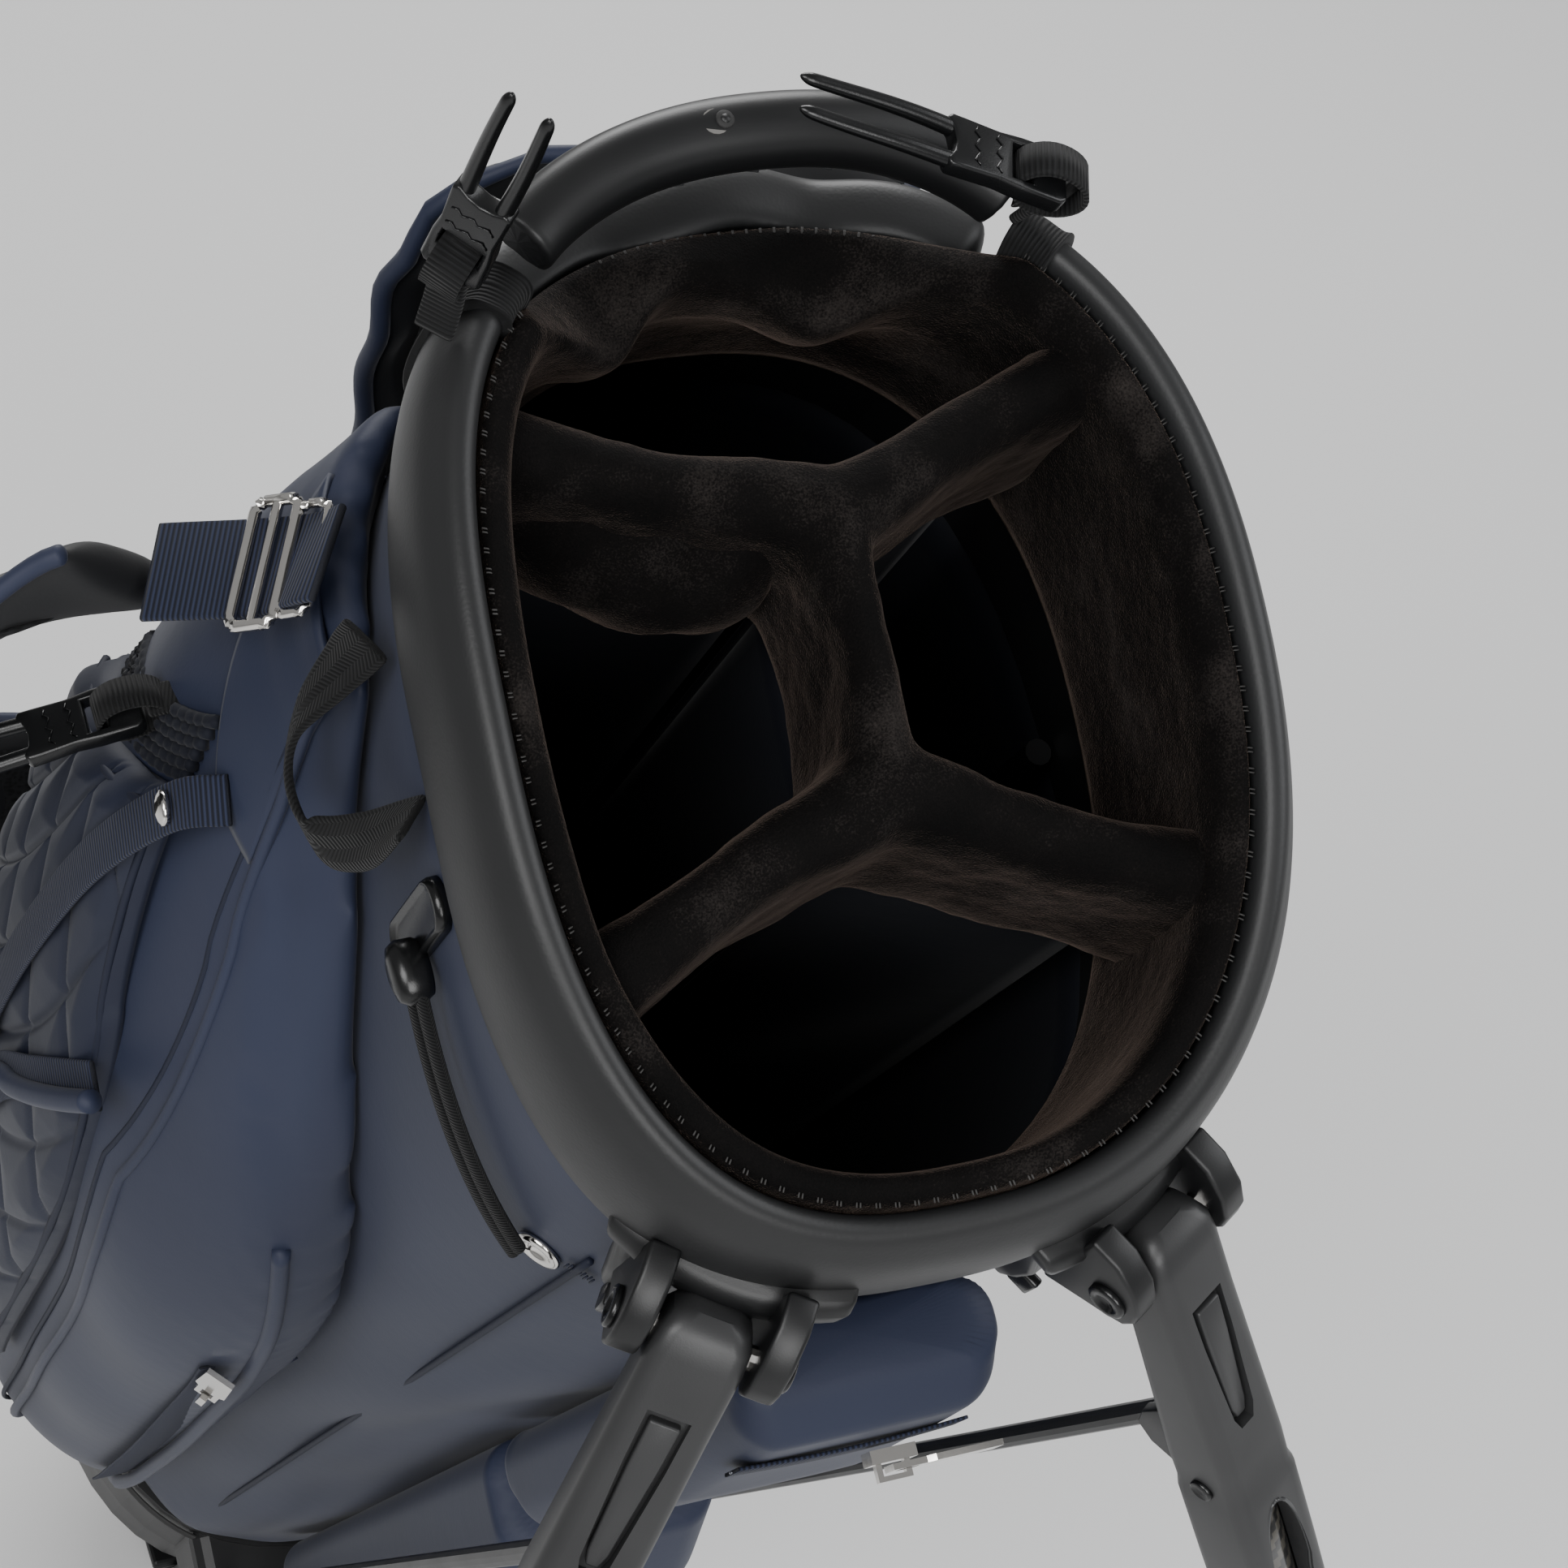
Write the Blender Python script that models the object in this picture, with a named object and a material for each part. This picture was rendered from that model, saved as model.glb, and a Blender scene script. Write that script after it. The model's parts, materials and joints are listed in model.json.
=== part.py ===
"""Golf stand bag with its stand open: four club compartments, two swinging legs and a tilting foot.

Every part is drawn in the bag's own frame (x across, y from the leg side to the handle side,
z from the base to the mouth, metres) and hangs on one empty that leans the bag onto its stand.
"""
import math

import bmesh
import bpy
from mathutils import Matrix, Vector

# Driving dimensions
LEAN = math.radians(28)
RIM_Z = 0.850
OVAL_POWER = 2.5
MOUTH_A, MOUTH_B = 0.0905, 0.1205
COLLAR_THICK, COLLAR_TALL = 0.012, 0.044
COLLAR_START, COLLAR_END = 128, 412
HANDLE_START, HANDLE_END = 55, 125
LINING_THICK, LINING_GAP = 0.004, 0.0030
SHELL_TOP_A, SHELL_TOP_B = 0.0915, 0.1215
SHELL_BASE_A, SHELL_BASE_B = 0.084, 0.100
SHELL_WALL = 0.003
SHELL_BOTTOM = 0.090
CUFF_BOTTOM = 0.735
GAP = 0.0005

JUNCTION_BACK = Vector((0.003, 0.0385))
JUNCTION_FRONT = Vector((0.0015, -0.024))
DIVIDER_DROP, DIVIDER_TALL = 0.009, 0.060
DIVIDER_WIDE = 0.016
CURTAIN_THICK = 0.0016

LEG_OPEN = math.radians(43)
LEG_SPLAY = math.radians(32)
HINGE_X, HINGE_Y, HINGE_Z = 0.0565, -0.129, 0.785
LEG_LENGTH = 0.754
KNUCKLE_LONG = 0.170
ROD_PIVOT_DOWN, ROD_PIVOT_IN = 0.075, 0.016
ROD_LENGTH = 0.654
ROD_LEAN = math.radians(5.2)
ROD_GUIDE_IN = 0.020

FOOT_AXIS_Y, FOOT_AXIS_Z = -0.100, -0.007
FOOT_AXIS_HEIGHT = 0.006
FOOT_LONG, FOOT_WIDE = 0.150, 0.120

# Height, depth and front edge (degrees round the oval) of each pocket section
SIDE_POCKET_LEFT = (
    (0.115, 0.012, 212), (0.130, 0.034, 214), (0.200, 0.050, 217), (0.340, 0.060, 218),
    (0.500, 0.058, 217), (0.570, 0.054, 213), (0.640, 0.046, 200), (0.700, 0.034, 186),
    (0.745, 0.020, 176), (0.765, 0.014, 171), (0.775, 0.006, 169),
)
POUCH_START, POUCH_REACH = 146, 0.70
SIDE_POCKET_RIGHT = ((0.115, 0.012, -20), (0.130, 0.030, -21), (0.200, 0.044, -22),
                     (0.340, 0.050, -21), (0.500, 0.046, -15), (0.640, 0.036, -4),
                     (0.720, 0.022, 6), (0.765, 0.012, 10), (0.775, 0.006, 11))
SIDE_POCKET_BACK_LEFT, SIDE_POCKET_BACK_RIGHT = 129, 51
POCKET_GAP = 0.0014
ZIP_STANDOFF = 0.0045

# Angle round the oval and height of each end of the bungee
BUNGEE_NEAR, BUNGEE_FAR = (192.0, 0.764), (224.0, 0.720)
BUNGEE_SPREAD = 0.008
BUNGEE_STANDOFF = 0.0062

NAVY = (0.055, 0.070, 0.115)
NAVY_QUILT = (0.065, 0.080, 0.130)
CHARCOAL = (0.045, 0.046, 0.048)
PLUSH = (0.020, 0.014, 0.012)
MOULDED = (0.030, 0.031, 0.033)
WEBBING = (0.012, 0.012, 0.014)
CARBON = (0.020, 0.020, 0.020)
RUBBER = (0.015, 0.015, 0.015)
STEEL = (0.60, 0.60, 0.62)
MATERIALS = {
    "navy_fabric": (NAVY, 0.0, 0.75),
    "quilted_fabric": (NAVY_QUILT, 0.0, 0.70),
    "collar_leather": (CHARCOAL, 0.0, 0.55),
    "plush_lining": (PLUSH, 0.0, 0.95),
    "black_moulding": (MOULDED, 0.0, 0.45),
    "black_webbing": (WEBBING, 0.0, 0.90),
    "carbon_tube": (CARBON, 0.0, 0.30),
    "black_rubber": (RUBBER, 0.0, 0.80),
    "bright_metal": (STEEL, 1.0, 0.20),
}


# Shared tools
def clear_scene():
    for item in list(bpy.data.objects):
        bpy.data.objects.remove(item, do_unlink=True)


def make_materials():
    made = {}
    for name, (colour, metallic, roughness) in MATERIALS.items():
        material = bpy.data.materials.new(name)
        material.use_nodes = True
        shader = material.node_tree.nodes["Principled BSDF"]
        shader.inputs["Base Color"].default_value = (*colour, 1.0)
        shader.inputs["Metallic"].default_value = metallic
        shader.inputs["Roughness"].default_value = roughness
        made[name] = material
    return made


def empty(name, matrix, parent=None):
    marker = bpy.data.objects.new(name, None)
    bpy.context.scene.collection.objects.link(marker)
    marker.parent = parent
    marker.matrix_local = matrix
    return marker


def solid(name, verts, faces, slot, parent):
    mesh = bpy.data.meshes.new(name)
    mesh.from_pydata([tuple(v) for v in verts], [], faces)
    draft = bmesh.new()
    draft.from_mesh(mesh)
    bmesh.ops.recalc_face_normals(draft, faces=draft.faces)
    draft.to_mesh(mesh)
    draft.free()
    item = bpy.data.objects.new(name, mesh)
    bpy.context.scene.collection.objects.link(item)
    item.parent = parent
    if slot:
        mesh.materials.append(SLOTS[slot])
    return item


def loft(name, rings, slot, parent, looped=False):
    """Skin equal closed rings; the ends are capped unless the rings run round in a loop."""
    count = len(rings[0])
    verts = [point for ring in rings for point in ring]
    faces = []
    spans = len(rings) if looped else len(rings) - 1
    for i in range(spans):
        here, there = i * count, ((i + 1) % len(rings)) * count
        for j in range(count):
            k = (j + 1) % count
            faces.append((here + j, here + k, there + k, there + j))
    if not looped:
        last = (len(rings) - 1) * count
        faces.append(tuple(reversed(range(count))))
        faces.append(tuple(range(last, last + count)))
    return solid(name, verts, faces, slot, parent)


def tangents(path, closed=False):
    found = []
    for i, point in enumerate(path):
        before = path[i - 1] if i > 0 or closed else point
        after = path[(i + 1) % len(path)] if i < len(path) - 1 or closed else point
        found.append((after - before).normalized())
    return found


def swept_rings(path, profile, up, closed=False):
    """Place the profile (side, height) along the path; up is a vector or one vector per point."""
    rings = []
    for i, (point, along) in enumerate(zip(path, tangents(path, closed))):
        lift = up[i] if isinstance(up, list) else up
        side = along.cross(lift).normalized()
        rise = side.cross(along).normalized()
        stretch = 1.0
        if 0 < i < len(path) - 1:
            stretch = 1.0 / max(0.5, (path[i + 1] - point).normalized().dot(along))
        rings.append([point + side * (s * stretch) + rise * h for s, h in profile])
    return rings


def sweep(name, path, profile, slot, parent, up=Vector((0, 0, 1)), closed=False):
    return loft(name, swept_rings(path, profile, up, closed), slot, parent, looped=closed)


def sleeve(name, path, inner, outer, slot, parent, up=Vector((0, 0, 1))):
    """A tube with a wall, running along the path between two profiles of equal count."""
    inside = swept_rings(path, inner, up)
    outside = swept_rings(path, outer, up)
    rings = []
    for j in range(len(inner)):
        ring = [ring_in[j] for ring_in in inside]
        ring += [ring_out[j] for ring_out in reversed(outside)]
        rings.append(ring)
    return loft(name, rings, slot, parent, looped=True)


def rounded_profile(wide, tall, radius, steps=3):
    corners = [(1, 1, 0), (-1, 1, 90), (-1, -1, 180), (1, -1, 270)]
    points = []
    for sx, sy, start in corners:
        cx, cy = sx * (wide / 2 - radius), sy * (tall / 2 - radius)
        for i in range(steps + 1):
            angle = math.radians(start + 90 * i / steps)
            points.append((cx + radius * math.cos(angle), cy + radius * math.sin(angle)))
    return points


def circle(radius, count=16):
    turn = 2 * math.pi / count
    return [(radius * math.cos(i * turn), radius * math.sin(i * turn)) for i in range(count)]


def rod(name, start, end, radius, slot, parent, count=16):
    start, end = Vector(start), Vector(end)
    along = (end - start).normalized()
    up = Vector((0, 0, 1)) if abs(along.z) < 0.9 else Vector((0, 1, 0))
    return sweep(name, [start, end], circle(radius, count), slot, parent, up=up)


def block(name, low, high, slot, parent, bevel=0.0):
    (x0, y0, z0), (x1, y1, z1) = low, high
    verts = [(x, y, z) for x in (x0, x1) for y in (y0, y1) for z in (z0, z1)]
    faces = [(0, 1, 3, 2), (4, 6, 7, 5), (0, 4, 5, 1), (2, 3, 7, 6), (0, 2, 6, 4), (1, 5, 7, 3)]
    item = solid(name, verts, faces, slot, parent)
    if bevel:
        round_edges(item, bevel)
    return item


def prism(name, outline, low, high, slot, parent):
    """Raise an outline of (y, z) points along x from low to high."""
    rings = [[Vector((x, y, z)) for y, z in outline] for x in (low, high)]
    return loft(name, rings, slot, parent)


def round_edges(item, width, segments=2):
    bevel = item.modifiers.new("rounded", "BEVEL")
    bevel.width = width
    bevel.segments = segments
    bevel.limit_method = "ANGLE"
    bevel.angle_limit = math.radians(40)


def combine(item, helper, operation):
    helper.hide_render = True
    helper.display_type = "WIRE"
    boolean = item.modifiers.new(operation.lower(), "BOOLEAN")
    boolean.operation = operation
    boolean.solver = "EXACT"
    boolean.object = helper


def cut(item, helper):
    combine(item, helper, "DIFFERENCE")


def add(item, helper):
    combine(item, helper, "UNION")


# The bag's oval
def oval(a, b, angle):
    c, s = math.cos(angle), math.sin(angle)
    power = 2 / OVAL_POWER
    return Vector((math.copysign(abs(c) ** power, c) * a, math.copysign(abs(s) ** power, s) * b))


def rim_height(y):
    """The rim dips at the front and back and stands a little higher towards the handle."""
    return RIM_Z + 0.105 * y - 0.019 * (y / 0.110) ** 2


def arc(a, b, start, end, count):
    """Points on the oval between two angles in degrees, evenly spaced along the curve."""
    fine = [oval(a, b, math.radians(start + (end - start) * i / 400)) for i in range(401)]
    lengths = [0.0]
    for before, after in zip(fine, fine[1:]):
        lengths.append(lengths[-1] + (after - before).length)
    points = []
    j = 0
    for i in range(count):
        target = lengths[-1] * i / (count - 1)
        while j < 399 and lengths[j + 1] < target:
            j += 1
        span = lengths[j + 1] - lengths[j]
        points.append(fine[j].lerp(fine[j + 1], (target - lengths[j]) / span))
    return points


def shell_size(z):
    share = min(max(z / HINGE_Z, 0.0), 1.0)
    a = SHELL_BASE_A + (SHELL_TOP_A - SHELL_BASE_A) * share
    b = SHELL_BASE_B + (SHELL_TOP_B - SHELL_BASE_B) * share
    return a, b


def shell_point(angle, z, outward=0.0):
    """A point on the shell at an oval angle in degrees, moved outward along the surface normal."""
    a, b = shell_size(z)
    here = oval(a, b, math.radians(angle))
    nudge = oval(a, b, math.radians(angle + 0.5)) - oval(a, b, math.radians(angle - 0.5))
    normal = Vector((nudge.y, -nudge.x)).normalized()
    spot = here + normal * outward
    return Vector((spot.x, spot.y, z))


def shell_normal(angle, z):
    away = shell_point(angle, z, 0.01) - shell_point(angle, z)
    return away.normalized()


# Mouth
def collar_path(start, end, count):
    spots = arc(MOUTH_A, MOUTH_B, start, end, count)
    return [Vector((p.x, p.y, rim_height(p.y) - COLLAR_TALL / 2)) for p in spots]


def build_collar():
    profile = rounded_profile(COLLAR_THICK, COLLAR_TALL, 0.0055)
    sweep("collar_pad", collar_path(COLLAR_START, COLLAR_END, 44), profile, "collar_leather", BAG)
    inner = rounded_profile(COLLAR_THICK + 0.001, COLLAR_TALL + 0.001, 0.006)
    outer = rounded_profile(COLLAR_THICK + 0.005, COLLAR_TALL + 0.005, 0.008)
    whole = collar_path(COLLAR_START, COLLAR_END, 90)
    sleeve("handle_binding_left", whole[:3], inner, outer, "black_webbing", BAG)
    sleeve("handle_binding_right", whole[-3:], inner, outer, "black_webbing", BAG)


def build_back_lip():
    spots = arc(MOUTH_A + 0.0015, MOUTH_B + 0.0015, COLLAR_END - 360 + 7, COLLAR_START - 7, 18)
    path = [Vector((p.x, p.y, rim_height(p.y) - 0.0335)) for p in spots]
    sweep("back_lip_pad", path, rounded_profile(0.018, 0.025, 0.006), "collar_leather", BAG)


def band_ring(a, b, thick, low, high_at, point):
    """One slice of a band that follows the oval: inner and outer walls from low to high."""
    inward = oval(a - thick, b - thick, point)
    outward = oval(a, b, point)
    high_in, high_out = high_at(inward.y), high_at(outward.y)
    return [
        Vector((inward.x, inward.y, low)),
        Vector((outward.x, outward.y, low)),
        Vector((outward.x, outward.y, high_out)),
        Vector((inward.x, inward.y, high_in)),
    ]


def oval_band(name, a, b, thick, low, high_at, slot, count=48):
    angles = [2 * math.pi * i / count for i in range(count)]
    rings = [band_ring(a, b, thick, low, high_at, angle) for angle in angles]
    return loft(name, rings, slot, BAG, looped=True)


def build_mouth_rings():
    half = COLLAR_THICK / 2
    a, b = MOUTH_A - half - LINING_GAP, MOUTH_B - half - LINING_GAP

    def lining_top(y):
        return rim_height(y) - 0.005 - 0.013 * max(0.0, y / MOUTH_B) ** 4

    oval_band("rim_lining", a, b, LINING_THICK, CUFF_BOTTOM + 0.010, lining_top, "plush_lining")

    def cuff_top(y):
        return rim_height(y) - COLLAR_TALL - 0.003

    oval_band("cuff_frame", 0.0867, 0.1164, 0.004, CUFF_BOTTOM, cuff_top, "black_moulding")


def build_handle():
    path = []
    spots = arc(MOUTH_A + 0.001, MOUTH_B + 0.001, HANDLE_START, HANDLE_END, 21)
    for i, p in enumerate(spots):
        crown = math.sin(math.pi * i / (len(spots) - 1))
        path.append(Vector((p.x, p.y, rim_height(p.y) + 0.004 + 0.012 * crown)))
    handle = sweep("lift_handle", path, rounded_profile(0.017, 0.016, 0.006), "black_moulding", BAG)
    screw_spot = path[len(path) // 2 + 2]
    screw_hole = rod("screw_recess", screw_spot + Vector((0, 0, 0.003)), screw_spot + Vector((0, 0, 0.020)),
                     0.0036, None, BAG)
    cut(handle, screw_hole)
    for i in range(4, len(path) - 4, 3):
        low = path[i] + Vector((-0.004, -0.005, -0.012))
        high = path[i] + Vector((0.004, 0.005, -0.0045))
        cut(handle, block(f"grip_groove_{i}", low, high, None, BAG))
    screw_low, screw_high = (screw_spot + Vector((0, 0, z)) for z in (0.0034, 0.0075))
    rod("handle_screw", screw_low, screw_high, 0.0031, "bright_metal", BAG)


def clip_outline():
    """Two round-ended tines on a base block, as (across, along) points from the hinge bar."""
    half, slot_half, root, tip = 0.0070, 0.0034, 0.024, 0.060
    outer = [(-half, -0.006), (half, -0.006), (half, tip - 0.004), (half - 0.002, tip)]
    inner = [(slot_half, tip - 0.001), (slot_half, root), (-slot_half, root)]
    other = [(-slot_half, tip - 0.001), (-half + 0.002, tip), (-half, tip - 0.004)]
    return outer + inner + other


def build_clip(name, place):
    frame = empty(f"{name}_frame", place, BAG)
    rings = [[Vector((x, y, z)) for x, z in clip_outline()] for y in (-0.0024, 0.0024)]
    clip = loft(name, rings, "black_moulding", frame)
    cut(clip, block(f"{name}_bar_slot", (-0.0053, -0.01, 0.0028), (0.0053, 0.01, 0.0080), None, frame))


def build_clip_loop(name, frame):
    """A flat webbing loop through the clip's bar slot and round the bar."""
    ring = []
    for i in range(12):
        angle = 2 * math.pi * i / 12
        ring.append(Vector((0, 0.0072 * math.cos(angle), -0.0020 + 0.0075 * math.sin(angle))))
    profile = [(-0.0006, -0.0046), (0.0006, -0.0046), (0.0006, 0.0046), (-0.0006, 0.0046)]
    return sweep(name, ring, profile, "black_webbing", frame, up=Vector((1, 0, 0)), closed=True)


def clip_matrix(bar, tip, face):
    """Frame with z from the bar to the tip and y near the face direction."""
    up = (Vector(tip) - Vector(bar)).normalized()
    across = Vector(face).cross(up).normalized()
    forward = up.cross(across)
    turned = Matrix((across, forward, up)).transposed().to_4x4()
    return Matrix.Translation(Vector(bar)) @ turned


def build_clips():
    places = {
        "clip_left": ((-0.078, 0.095, 0.866), (-0.075, 0.099, 0.930), (0.7, 0.7, 0.0)),
        "clip_right": ((0.057, 0.098, 0.868), (0.014, 0.1145, 0.876), (0.0, 0.2, 1.0)),
        "clip_side": ((-0.135, 0.060, 0.692), (-0.181, 0.056, 0.678), (0.0, 0.3, 1.0)),
    }
    for name, (bar, tip, face) in places.items():
        place = clip_matrix(bar, tip, face)
        build_clip(name, place)
        build_clip_loop(f"{name}_loop", empty(f"{name}_loop_frame", place, BAG))


# Dividers
def wall_spot(start, heading, a, b):
    """Where a ray from start meets the oval of half sizes a and b."""
    near, far = 0.0, 0.2
    for _ in range(40):
        middle = (near + far) / 2
        spot = start + heading * middle
        inside = abs(spot.x / a) ** OVAL_POWER + abs(spot.y / b) ** OVAL_POWER < 1
        near, far = (middle, far) if inside else (near, middle)
    return start + heading * near


def arm_headings():
    back = [Vector((side * 0.0615, 0.061)) - JUNCTION_BACK for side in (1, -1)]
    front = [Vector((side * 0.0685, -0.051)) - JUNCTION_FRONT for side in (-1, 1)]
    return [h.normalized() for h in back + front]


def arm_ends(a, b):
    starts = (JUNCTION_BACK, JUNCTION_BACK, JUNCTION_FRONT, JUNCTION_FRONT)
    return [wall_spot(s, h, a, b) for s, h in zip(starts, arm_headings())]


def divider_top(y):
    return rim_height(y) - DIVIDER_DROP


def build_dividers():
    half = COLLAR_THICK / 2 + LINING_GAP + LINING_THICK
    ends = arm_ends(MOUTH_A - half - 0.0035, MOUTH_B - half - 0.0035)
    profile = rounded_profile(DIVIDER_WIDE, DIVIDER_TALL, 0.0075)
    trios = {
        "divider_back": (ends[0], JUNCTION_BACK, ends[1]),
        "divider_front": (ends[2], JUNCTION_FRONT, ends[3]),
    }
    for name, trio in trios.items():
        path = [Vector((p.x, p.y, divider_top(p.y) - DIVIDER_TALL / 2)) for p in trio]
        sweep(name, path, profile, "plush_lining", BAG)
    reach = DIVIDER_WIDE / 2 + 0.0027
    spine = (JUNCTION_FRONT - JUNCTION_BACK).normalized()
    spots = (JUNCTION_BACK + spine * reach, JUNCTION_FRONT - spine * reach)
    path = [Vector((p.x, p.y, divider_top(p.y) - DIVIDER_TALL / 2)) for p in spots]
    sweep("divider_spine", path, profile, "plush_lining", BAG)


def tree_outline(ends, height):
    """Outline of the thin divider walls: two junctions joined by a spine, four arms."""
    h = CURTAIN_THICK / 2
    back_right, back_left, front_left, front_right = ends
    down = (JUNCTION_FRONT - JUNCTION_BACK).normalized()
    up = -down
    headings = arm_headings()

    def tip(heading, end):
        side = Vector((-heading.y, heading.x)) * h
        return [end - side, end + side]

    def corner(junction, first, second):
        turn = first.x * second.y - first.y * second.x
        return [junction + (first + second) * (h / turn)]

    points = tip(headings[0], back_right)
    points += corner(JUNCTION_BACK, headings[0], headings[1])
    points += tip(headings[1], back_left)
    points += corner(JUNCTION_BACK, headings[1], down)
    points += corner(JUNCTION_FRONT, up, headings[2])
    points += tip(headings[2], front_left)
    points += corner(JUNCTION_FRONT, headings[2], headings[3])
    points += tip(headings[3], front_right)
    points += corner(JUNCTION_FRONT, headings[3], up)
    points += corner(JUNCTION_BACK, down, headings[0])
    return [Vector((p.x, p.y, height(p.y))) for p in points]


def build_curtain():
    """Flat walls from the base to just under the dividers, straight from end to end."""
    bottom, inset = 0.015, 0.009
    low_a, low_b = shell_size(bottom)
    reach = COLLAR_THICK / 2 + LINING_GAP + LINING_THICK + 0.002
    low_ends = arm_ends(low_a - inset, low_b - inset)
    high_ends = arm_ends(MOUTH_A - reach, MOUTH_B - reach)
    rings = [
        tree_outline(low_ends, lambda y: bottom),
        tree_outline(high_ends, lambda y: divider_top(y) - DIVIDER_TALL - 0.0015),
    ]
    loft("divider_curtain", rings, "navy_fabric", BAG)


# Shell
def shell_ring(start, end, share, count=12):
    """Section of one shell panel at a share of its height; the top follows the collar."""
    angles = [start + (end - start) * i / (count - 1) for i in range(count)]
    outer, inner = [], []
    for angle in angles:
        top = rim_height(oval(SHELL_TOP_A, SHELL_TOP_B, math.radians(angle)).y) - COLLAR_TALL - 0.0035
        z = SHELL_BOTTOM + (top - SHELL_BOTTOM) * share
        outer.append(shell_point(angle, z))
        inner.append(shell_point(angle, z, -SHELL_WALL))
    return outer + inner[::-1]


def build_shell():
    seams = {
        "shell_right": (-52, 47),
        "shell_back": (48, 132),
        "shell_left": (133, 232),
        "shell_front": (233, 307),
    }
    for name, (start, end) in seams.items():
        rings = [shell_ring(start, end, share) for share in (0, 0.33, 0.66, 1)]
        loft(name, rings, "navy_fabric", BAG)
    for angle, name in ((180, "stay_left"), (0, "stay_right")):
        low = shell_point(angle, 0.020, -0.0125)
        high = shell_point(angle, CUFF_BOTTOM + 0.006, -0.0125)
        rod(name, low, high, 0.0035, "black_moulding", BAG, count=12)


# Base
def build_base():
    levels = ((0.0, 0.0), (0.006, 0.004), (0.040, 0.005), (SHELL_BOTTOM - GAP, 0.004))
    rings = []
    for z, swell in levels:
        a, b = SHELL_BASE_A + swell, SHELL_BASE_B + swell
        rings.append([Vector((*oval(a, b, 2 * math.pi * i / 40), z)) for i in range(40)])
    base = loft("base_housing", rings, "black_moulding", BAG)
    hollow = []
    for z in (0.012, SHELL_BOTTOM + 0.01):
        spots = [oval(SHELL_BASE_A - 0.001, SHELL_BASE_B - 0.001, 2 * math.pi * i / 40) for i in range(40)]
        hollow.append([Vector((p.x, p.y, z)) for p in spots])
    guide = rod_guide_spot(1)
    shelf = block("rod_shelf", (-guide.x - 0.012, guide.y - 0.0105, 0.034),
                  (guide.x + 0.012, -0.085, 0.086), None, BAG)
    round_edges(shelf, 0.007, 3)
    add(base, shelf)
    cut(base, loft("base_hollow", hollow, None, BAG))
    for side in (-1, 1):
        spot = rod_guide_spot(side)
        bore = rod(f"rod_bore_{side}", (spot.x, spot.y, 0.046), (spot.x, spot.y, 0.10), 0.0062, None, BAG)
        cut(base, bore)
        low = side * 0.052
        lug_start = (min(low, low - side * 0.012), FOOT_AXIS_Y, FOOT_AXIS_Z)
        lug_end = (max(low, low - side * 0.012), FOOT_AXIS_Y, FOOT_AXIS_Z)
        add(base, rod(f"foot_lug_{side}", lug_start, lug_end, 0.0055, None, BAG))
        add(base, block(f"foot_lug_root_{side}", (lug_start[0], FOOT_AXIS_Y - 0.004, FOOT_AXIS_Z),
                        (lug_end[0], FOOT_AXIS_Y + 0.006, 0.004), None, BAG))
    cut(base, rod("foot_pin_hole", (-0.06, FOOT_AXIS_Y, FOOT_AXIS_Z), (0.06, FOOT_AXIS_Y, FOOT_AXIS_Z),
                  0.0029, None, BAG))
    rod("base_pin", (-0.0515, FOOT_AXIS_Y, FOOT_AXIS_Z), (0.0515, FOOT_AXIS_Y, FOOT_AXIS_Z),
        0.0025, "bright_metal", BAG, count=12)


def build_base_foot():
    plate = block("base_foot", (-FOOT_WIDE / 2, 0.007, 0.0), (FOOT_WIDE / 2, FOOT_LONG, 0.005),
                  "black_moulding", FOOT, bevel=0.0015)
    barrel = rod("foot_barrel", (-0.0385, 0, 0), (0.0385, 0, 0), 0.0055, None, FOOT)
    add(plate, barrel)
    add(plate, block("foot_neck", (-0.0385, 0.0, -0.0005), (0.0385, 0.012, 0.0045), None, FOOT))
    cut(plate, rod("foot_barrel_hole", (-0.05, 0, 0), (0.05, 0, 0), 0.0029, None, FOOT))
    block("base_foot_pad", (-FOOT_WIDE / 2 + 0.004, 0.010, -FOOT_AXIS_HEIGHT),
          (FOOT_WIDE / 2 - 0.004, FOOT_LONG - 0.004, -0.0009), "black_rubber", FOOT, bevel=0.0012)


# Stand
def side_name(side):
    return "left" if side < 0 else "right"


def leg_plane(side):
    """Level frame at a leg hinge: x along the pin, y towards the bag."""
    hinge = Vector((side * HINGE_X, HINGE_Y, HINGE_Z))
    return Matrix.Translation(hinge) @ Matrix.Rotation(side * LEG_SPLAY, 4, "Z")


def rod_guide_spot(side):
    spot = leg_plane(side) @ Vector((0, ROD_GUIDE_IN, 0))
    return Vector((spot.x, spot.y, 0.0))


def build_bracket(side):
    name = f"leg_bracket_{side_name(side)}"
    frame = empty(f"{name}_frame", leg_plane(side), BAG)
    outline = [(0.0095, 0.010), (0.0125, 0.010), (0.0125, -0.0185), (0.0175, -0.0185),
               (0.0185, -0.046), (0.0140, -0.046), (0.0095, -0.026)]
    bracket = prism(name, outline, -0.023, 0.023, "black_moulding", frame)
    for x in (-1, 1):
        low, high = sorted((x * 0.0125, x * 0.0195))
        ear = [(0.011, 0.008), (0.0, 0.0078), (-0.0055, 0.0055), (-0.0078, 0.0),
               (-0.0055, -0.0055), (0.0, -0.0078), (0.011, -0.020)]
        add(bracket, prism(f"{name}_ear_{x}", ear, low, high, None, frame))
    cut(bracket, rod(f"{name}_pin_hole", (-0.03, 0, 0), (0.03, 0, 0), 0.0034, None, frame))
    rod(f"leg_pin_{side_name(side)}", (-0.0205, 0, 0), (0.0205, 0, 0), 0.0030,
        "bright_metal", frame, count=12)


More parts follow.
